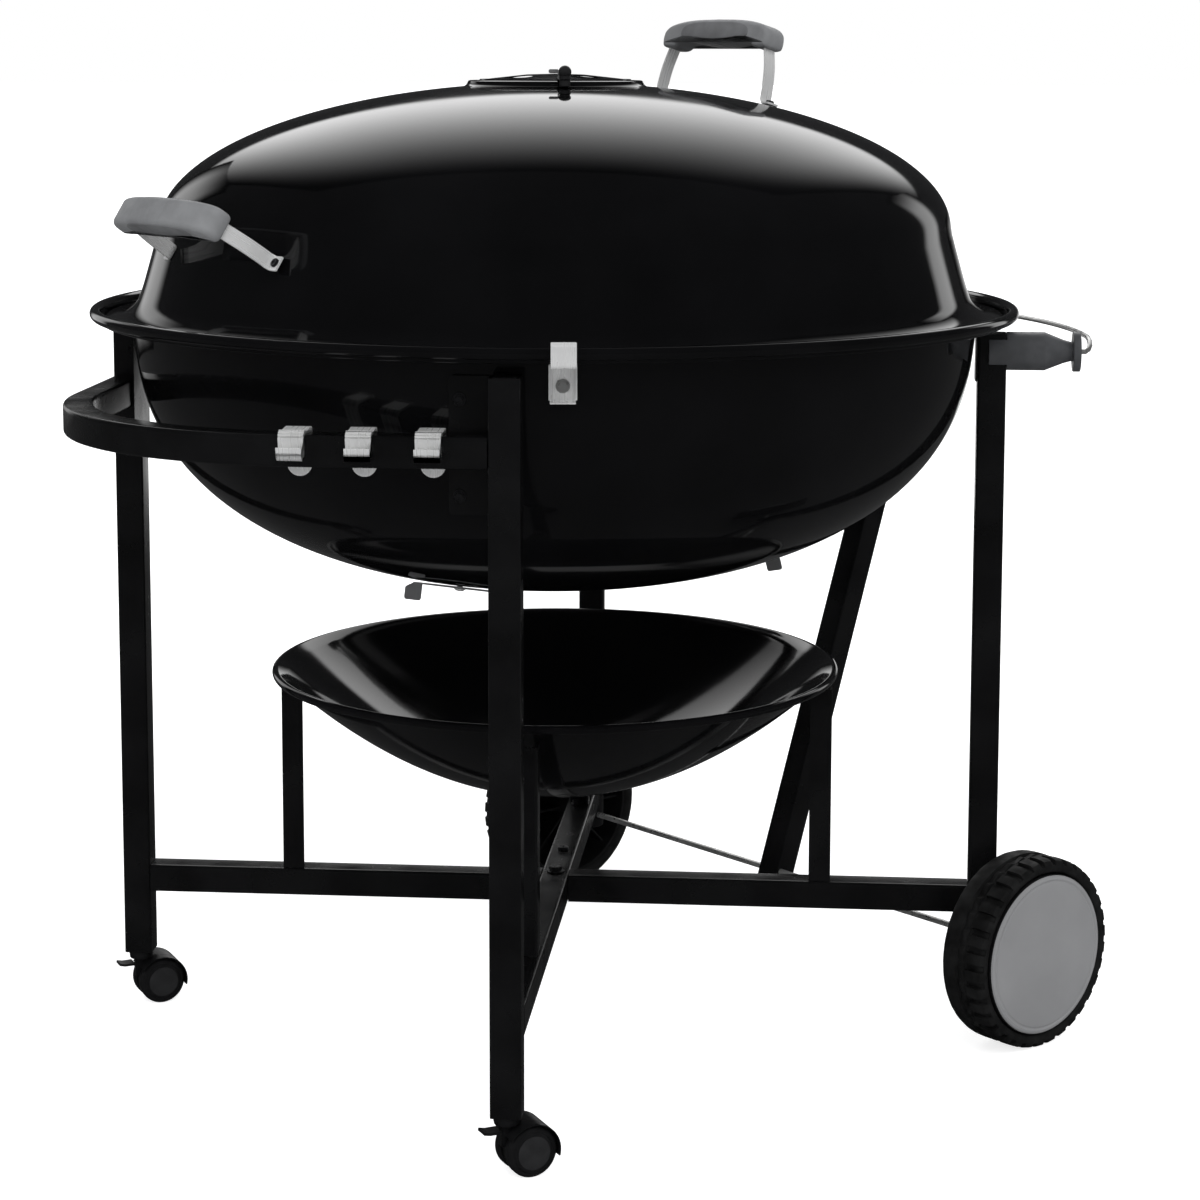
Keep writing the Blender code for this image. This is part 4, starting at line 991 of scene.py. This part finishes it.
def make_brackets():
    for side, degrees in LEG_ANGLES.items():
        low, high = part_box(f"bowl_bracket_{side}")
        centre = (low + high) / 2
        width, height = max(high.x - low.x, high.y - low.y), high.z - low.z
        out = heading(degrees)
        mesh = extrude(rounded_box(width, height, 0.005, 5), 0.0019, 0.0004)
        matrix = axes_matrix(centre, UP.cross(out), out)
        show(f"bowl_plate_{side}", mesh, "paint", "frame", matrix, [f"bowl_bracket_{side}"])
    for side, out, along in (("front", (0, -1, 0), 0), ("left", (-1, 0, 0), 1)):
        low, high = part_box(f"bowl_bracket_{side}")
        for number, z in enumerate((high.z - 0.022, low.z + 0.018), start=1):
            spot = Vector((low.x, low.y, z))
            spot[along] += 0.010
            fastener(f"bracket_bolt_{side}_{number}", hex_head(0.008, 0.005), spot, out)


CLIP_ANGLE = -83.5


def make_rim_clip():
    """The clip on the front of the rim: a lower and an upper strip between two flanges."""
    base = BOWL_RADIUS + 0.0014
    height = RIM_TOP - 0.026
    lower = [(0.0062, -0.0280), (0.0, -0.0272), (0.0, 0.0086), (0.0100, 0.0086)]
    upper = [(0.006, 0.0086), (0.0472, 0.0086), (0.0472, 0.0280), (0.0440, 0.0305)]
    matrix = axes_matrix(polar(base, CLIP_ANGLE, height), heading(CLIP_ANGLE), UP)
    parts = [strap_mesh(lower, 0.0240, 0.0014, 0.002), strap_mesh(upper, 0.0235, 0.0013, 0.003, side=-1.0)]
    flange = block((0.0052, 0.0013, 0.0330), 0.0004, 2)
    for side in (-1, 1):
        parts.append((flange, Matrix.Translation((0.0034, side * 0.01245, -0.0095))))
    show("rim_clip_strip", joined(parts), "plated", "frame", matrix, ["rim_clip"])
    spot = matrix @ Vector((0.0004, 0, -0.013))
    fastener("rim_clip_bolt", hex_head(0.0085, 0.0050), spot, heading(CLIP_ANGLE), "wire")


# ---------------------------------------------------------------- wheels

AXLE_WAY = Vector((1, -1, 0)).normalized()


def make_axle():
    low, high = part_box("axle")
    ends = [(low.x + 0.0025, high.y - 0.0025, WHEEL_RADIUS), (high.x - 0.0025, low.y + 0.0025, WHEEL_RADIUS)]
    mesh = sweep(ends, round_section(0.0034, 20))
    show("wheel_axle", mesh, "wire", "frame", stands_for=["axle"])
    for side, degrees in (("right", 0), ("back", 90)):
        low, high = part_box(f"axle_block_{side}")
        centre = polar(LEG_RADIUS, degrees)
        top = high.z
        profile = rounded([(0, top), (0.0147, top), (0.0147, 0.088), (0.012, low.z), (0, low.z)], 0.0015, 3)
        mesh = lathe(profile, 40)
        mesh.transform(Matrix.Translation(centre))
        mesh = carve(mesh, [(hole(0.0040, 0.06, 24), facing(centre + UP * WHEEL_RADIUS, AXLE_WAY))])
        show(f"axle_mount_{side}", mesh, "plastic", "frame", stands_for=[f"axle_block_{side}"])


WHEEL_INNER, WHEEL_OUTER, CAP_RADIUS = 0.036, 0.092, 0.0864


def tyre_mesh():
    """A tyre about Z with staggered shoulder lugs cut into its tread."""
    inner, outer, radius, lugs = WHEEL_INNER, WHEEL_OUTER, WHEEL_RADIUS, 34
    seat = CAP_RADIUS + 0.0005
    depth = 0.0042
    width = outer - inner
    # Each point of the section: radius, height, its row of lugs (0 for none) and its share of the cut.
    section = [(seat, outer - 0.004, 0, 0), (seat + 0.002, outer - 0.0012, 0, 0), (seat + 0.005, outer, 0, 0),
               (radius - 0.0062, outer, 0, 0), (radius - 0.0055, outer - 0.0004, 1, 0.45),
               (radius - 0.0018, outer - 0.0022, 1, 1), (radius - 0.0004, outer - 0.0060, 1, 1),
               (radius, outer - 0.0120, 1, 1), (radius, inner + width * 0.62, 1, 1),
               (radius - 0.0030, inner + width * 0.60, 0, 0), (radius - 0.0030, inner + width * 0.56, 0, 0),
               (radius, inner + width * 0.54, 3, 0.7), (radius, inner + width * 0.46, 3, 0.7),
               (radius - 0.0030, inner + width * 0.44, 0, 0), (radius - 0.0030, inner + width * 0.40, 0, 0),
               (radius, inner + width * 0.38, 2, 1), (radius, inner + 0.0120, 2, 1),
               (radius - 0.0004, inner + 0.0060, 2, 1), (radius - 0.0018, inner + 0.0022, 2, 1),
               (radius - 0.0055, inner + 0.0004, 2, 0.45), (radius - 0.0062, inner, 0, 0),
               (seat + 0.005, inner, 0, 0), (seat + 0.002, inner + 0.0012, 0, 0), (seat, inner + 0.004, 0, 0)]
    pattern = [0.0, 0.03, 0.06, 0.60, 0.63, 0.66, 0.72, 0.94]
    steps = [(lug + share) / lugs for lug in range(lugs) for share in pattern]
    verts = []
    for step in steps:
        angle = 2 * math.pi * step
        for r, z, row, weight in section:
            phase = (step * lugs + (0.5 if row == 2 else 0.25 if row == 3 else 0.0)) % 1.0
            low = 1.0 if phase > 0.655 or phase < 0.005 else 0.0
            cut = depth * weight * low if row else 0.0
            verts.append(((r - cut) * math.cos(angle), (r - cut) * math.sin(angle), z))
    return mesh_from(verts, band_faces(len(steps), len(section), True))


def wheel_mesh():
    """The moulded wheel: a deep rim, a closed web under the cap and a hub tube."""
    inner, outer = WHEEL_INNER, WHEEL_OUTER
    edge = CAP_RADIUS - 0.0003
    front = [(0, outer + 0.0010), (0.0770, outer + 0.0010), (0.0800, outer - 0.0006), (edge, outer - 0.0006)]
    back = [(edge, inner + 0.0012), (CAP_RADIUS - 0.004, inner + 0.0012),
            (CAP_RADIUS - 0.006, outer - 0.010), (0.014, outer - 0.010), (0.014, inner - 0.0038),
            (0.0042, inner - 0.0038), (0.0042, outer - 0.0032), (0, outer - 0.0032)]
    return lathe(rounded(front, 0.0008, 3) + rounded(back, 0.0010, 3), 112)


def cap_mesh():
    """The pale cap on a wheel's outer face, slightly dished, with a groove near its edge."""
    face = WHEEL_OUTER + 0.005
    front = [(0, face), (0.030, face - 0.0002), (0.060, face - 0.0012), (0.0770, face - 0.0026),
             (0.0785, face - 0.0034), (0.0795, face - 0.0034), (0.0812, face - 0.0026),
             (0.0838, face - 0.0034), (CAP_RADIUS - 0.0008, face - 0.0052), (0.0800, face - 0.0046),
             (0, face - 0.0036)]
    return lathe(rounded(front, 0.0007, 3), 112)


def make_wheels():
    for side, degrees, out in (("right", 0, AXLE_WAY), ("back", 90, -AXLE_WAY)):
        centre = polar(LEG_RADIUS, degrees, WHEEL_RADIUS)
        matrix = facing(centre, out)
        body = f"wheel_{side}"
        show(f"tyre_rubber_{side}", tyre_mesh(), "rubber", body, matrix, [f"tyre_{side}"], sharp=35)
        show(f"wheel_hub_{side}", wheel_mesh(), "plastic", body, matrix, [f"wheel_{side}"], sharp=40)
        show(f"wheel_cap_{side}", cap_mesh(), "cap", body, matrix, sharp=40)
        rib = block((0.064, 0.0028, 0.038), 0.0006, 2)
        ribs = []
        for i in range(8):
            ribs.append((rib, spin(45 * i) @ Matrix.Translation((0.0470, 0, WHEEL_OUTER - 0.0295))))
        show(f"wheel_ribs_{side}", joined(ribs), "plastic", body, matrix)


# ---------------------------------------------------------------- casters

CASTER_WHEEL, CASTER_TRAIL, CASTER_HALF = 0.025, 0.019, 0.021
CASTER_TURN = 30.0


def caster_wheel_pair():
    """Two wheels with dished faces and the axle between them, about Z."""
    radius, half, gap = CASTER_WHEEL, CASTER_HALF, 0.0058
    side = [(0, half - 0.0022), (0.0050, half - 0.0022), (0.0060, half - 0.0012), (0.0165, half - 0.0006),
            (0.0190, half - 0.0010), (0.0200, half - 0.0022), (0.0212, half - 0.0022),
            (0.0232, half - 0.0030), (radius, half - 0.0055), (radius, gap + 0.0020),
            (radius - 0.0015, gap), (0.0031, gap)]
    side = rounded(side, 0.0009, 3)
    return lathe(side + [(r, -z) for r, z in reversed(side)], 56)


def caster_housing():
    """The web between the wheels, the hood over them and the collar under the leg."""
    hub = Vector((CASTER_TRAIL, 0, CASTER_WHEEL))
    sideways = facing(hub, (0, 1, 0))
    web = puck(0.0224, 0.0046, -0.0046, 0.0010, 48, 2)
    web.transform(sideways)
    neck = block((0.0158, 0.0090, 0.0238), 0.0010, 2)
    arch = arc((hub.x, hub.z), 0.0264, -14, 146, 26)
    hood = extrude(sheet_outline(arch, 0.0013), 2 * CASTER_HALF - 0.0004, 0.0004)
    hood.transform(spin(90, "X"))
    collar = lathe(rounded([(0, 0.0508), (0.0125, 0.0508), (0.0138, 0.0594), (0, 0.0594)], 0.0008, 2), 40)
    whole = carve(web, [(neck, Matrix.Translation((0.0004, 0, 0.041))), hood, collar], "UNION")
    return carve(whole, [(hole(0.0036, 0.06, 24), sideways)])


def make_casters():
    for side, degrees in (("left", 180), ("front", -90)):
        centre = polar(LEG_RADIUS, degrees)
        place = Matrix.Translation(centre) @ spin(CASTER_TURN)
        show(f"caster_hood_{side}", caster_housing(), "plastic", f"caster_{side}", place,
             [f"caster_housing_{side}"], sharp=30)
        hub = place @ facing(Vector((CASTER_TRAIL, 0, CASTER_WHEEL)), (0, -1, 0))
        show(f"caster_wheel_pair_{side}", caster_wheel_pair(), "plastic", f"caster_wheels_{side}", hub,
             [f"caster_wheels_{side}"], sharp=35)
        disc = lathe([(0, 0.0004), (0.0150, 0.0003), (0.0162, 0.0), (0.0162, -0.0008), (0, -0.0008)],
                     56)
        for number, z in ((1, CASTER_HALF - 0.0004), (2, -CASTER_HALF + 0.0004)):
            show(f"caster_disc_{side}_{number}", disc.copy(), "disc", f"caster_wheels_{side}",
                 hub @ Matrix.Translation((0, 0, z)) @ spin(180 if z < 0 else 0, "X"))
        pedal = strap_mesh([(-0.0094, 0.0465), (-0.0200, 0.0465), (-0.0262, 0.0478)], 0.0176, 0.0026,
                           0.004, 0.0009)
        show(f"caster_pedal_{side}", pedal, "plastic", f"brake_{side}", place, [f"caster_brake_{side}"])


# ---------------------------------------------------------------- stage

def stage_sheet(name, width, height, material, matrix):
    bm = bmesh.new()
    bmesh.ops.create_grid(bm, x_segments=2, y_segments=2, size=0.5)
    bmesh.ops.scale(bm, vec=(width, height, 1), verts=bm.verts)
    obj = new_object(name, new_mesh(bm))
    obj.matrix_world = matrix
    obj.data.materials.append(material)
    return obj


def stage_material(name):
    """A new material with no shader, its nodes and its links."""
    material = bpy.data.materials.new(name)
    material.use_nodes = True
    nodes = material.node_tree.nodes
    nodes.remove(nodes["Principled BSDF"])
    return material, nodes, material.node_tree.links


def by_ray(nodes, links, kind, usual, other):
    """The usual shader, with the other one in its place for one kind of ray."""
    path, mix = nodes.new("ShaderNodeLightPath"), nodes.new("ShaderNodeMixShader")
    links.new(path.outputs[kind], mix.inputs["Fac"])
    links.new(usual.outputs[0], mix.inputs[1])
    links.new(other.outputs[0], mix.inputs[2])
    return mix


def times(nodes, links, one, other):
    """The product of two outputs, or of an output and a number."""
    product = nodes.new("ShaderNodeMath")
    product.operation = "MULTIPLY"
    for value, socket in ((one, product.inputs[0]), (other, product.inputs[1])):
        if isinstance(value, float):
            socket.default_value = value
        else:
            links.new(value, socket)
    return product.outputs[0]


def make_floor():
    """A pale floor that glows a little towards the camera and looks dark in reflections."""
    material, nodes, links = stage_material("floor_pale")
    pale, dark = nodes.new("ShaderNodeBsdfDiffuse"), nodes.new("ShaderNodeBsdfDiffuse")
    for shader, grey in ((pale, 0.80), (dark, 0.05)):
        shader.inputs["Color"].default_value = (grey, grey, grey, 1)
    matt = by_ray(nodes, links, "Is Glossy Ray", pale, dark)
    seen = nodes.new("ShaderNodeLightPath").outputs["Is Camera Ray"]
    glow, add = nodes.new("ShaderNodeEmission"), nodes.new("ShaderNodeAddShader")
    links.new(times(nodes, links, seen, FLOOR_GLOW), glow.inputs["Strength"])
    links.new(matt.outputs[0], add.inputs[0])
    links.new(glow.outputs[0], add.inputs[1])
    links.new(add.outputs[0], nodes["Material Output"].inputs["Surface"])
    stage_sheet("studio_floor", 180, 180, material, Matrix.Identity(4))


def make_world():
    """White to the camera, an even soft light on matt surfaces, near dark in reflections."""
    world = bpy.data.worlds.new("studio")
    bpy.context.scene.world = world
    world.use_nodes = True
    nodes, links = world.node_tree.nodes, world.node_tree.links
    soft = nodes["Background"]
    dim, pale = nodes.new("ShaderNodeBackground"), nodes.new("ShaderNodeBackground")
    for shader, colour, strength in ((soft, (0.97, 0.98, 1.0), AMBIENT), (dim, (0.95, 0.97, 1.0), 0.030),
                                     (pale, (1.0, 1.0, 1.0), 1.0)):
        shader.inputs["Color"].default_value = (*colour, 1)
        shader.inputs["Strength"].default_value = strength
    seen = by_ray(nodes, links, "Is Camera Ray", by_ray(nodes, links, "Is Glossy Ray", soft, dim), pale)
    links.new(seen.outputs[0], nodes["World Output"].inputs["Surface"])


def card(name, low, high, width, radiance, rise, fall, side):
    """A glowing sheet between the middles of its low and high edges, facing the kettle.

    Its glow grows over the first share (rise) of its height, falls from the share fall to its
    top, and fades over the share side at both ends.
    """
    low, high = Vector(low), Vector(high)
    upward = high - low
    centre = (low + high) / 2
    across = upward.cross(kettle(0, 0, 0.8) - centre).normalized()
    matrix = axes_matrix(centre, across, across.cross(upward))
    material, nodes, links = stage_material(name)
    spot = nodes.new("ShaderNodeTexCoord")
    split = nodes.new("ShaderNodeSeparateXYZ")
    links.new(spot.outputs["Object"], split.inputs[0])

    def step(axis, start, end, first, last):
        ramp = nodes.new("ShaderNodeMapRange")
        ramp.interpolation_type = "SMOOTHSTEP"
        for socket, value in (("From Min", start), ("From Max", end), ("To Min", first), ("To Max", last)):
            ramp.inputs[socket].default_value = value
        links.new(split.outputs[axis], ramp.inputs["Value"])
        return ramp.outputs["Result"]

    tall, wide = upward.length, width
    glow = step("Y", -tall / 2, tall * (rise - 0.5), 0.0, 1.0)
    for fade in (step("Y", tall * (fall - 0.5), tall / 2, 1.0, 0.0),
                 step("X", -wide / 2, wide * (side - 0.5), 0.0, 1.0),
                 step("X", wide * (0.5 - side), wide / 2, 1.0, 0.0), float(radiance)):
        glow = times(nodes, links, glow, fade)
    emission = nodes.new("ShaderNodeEmission")
    links.new(glow, emission.inputs["Strength"])
    links.new(emission.outputs[0], nodes["Material Output"].inputs["Surface"])
    obj = stage_sheet(name, wide, tall, material, matrix)
    obj.visible_camera = False
    obj.visible_shadow = False


def sun(name, direction, strength, angle):
    lamp = bpy.data.lights.new(name, "SUN")
    lamp.energy = strength
    lamp.angle = math.radians(angle)
    obj = new_object(name, lamp)
    obj.rotation_mode = "QUATERNION"
    obj.rotation_quaternion = Vector(direction).to_track_quat("-Z", "Y")
    obj.visible_glossy = False


def make_lights():
    card("back_card", kettle(-0.10, 3.6, 2.05), kettle(-0.10, 0.9, 4.4), 5.4, 1.9, 0.06, 0.10, 0.28)
    card("low_card", kettle(0.0, 3.4, 0.02), kettle(0.0, 3.4, 0.95), 3.4, 0.9, 0.04, 0.50, 0.20)
    card("left_card", kettle(-2.5, 2.7, 0.25), kettle(-2.5, 2.7, 2.9), 1.5, 0.9, 0.10, 0.60, 0.30)
    card("right_card", kettle(2.7, 2.9, 0.25), kettle(2.7, 2.9, 2.9), 1.1, 1.2, 0.10, 0.60, 0.30)
    sun("front_sun", (-0.30, 0.75, -0.85), 0.8, 40)


def make_camera():
    data = bpy.data.cameras.new("photo_camera")
    camera = new_object("photo_camera", data)
    data.sensor_width = 36
    data.lens = 86.26
    data.shift_y = -0.15
    camera.location = kettle(0.3009, -3.0460, 1.0505)
    yaw, pitch, roll = 0.0831, -0.1274, -0.0019
    camera.rotation_mode = "XYZ"
    camera.rotation_euler = (math.pi / 2 + pitch, roll, yaw)
    data.clip_end = 300
    bpy.context.scene.camera = camera


make_bowl()
make_lid()
make_lid_vent()
make_dampers()
make_lid_handle("top_handle", 45, 90 - 14.1)
make_lid_handle("side_handle", -135, 34)
make_cooking_grate()
make_charcoal_grate()
make_ash_catcher()
make_ash_posts()
make_legs()
make_crossbars()
make_tow_handle()
make_tool_hooks()
make_spools()
make_lid_rest_wire()
make_strut()
make_wire_clip()
make_brackets()
make_rim_clip()
make_axle()
make_wheels()
make_casters()
make_floor()
make_world()
make_lights()
make_camera()
bpy.context.scene.view_settings.view_transform = "Standard"
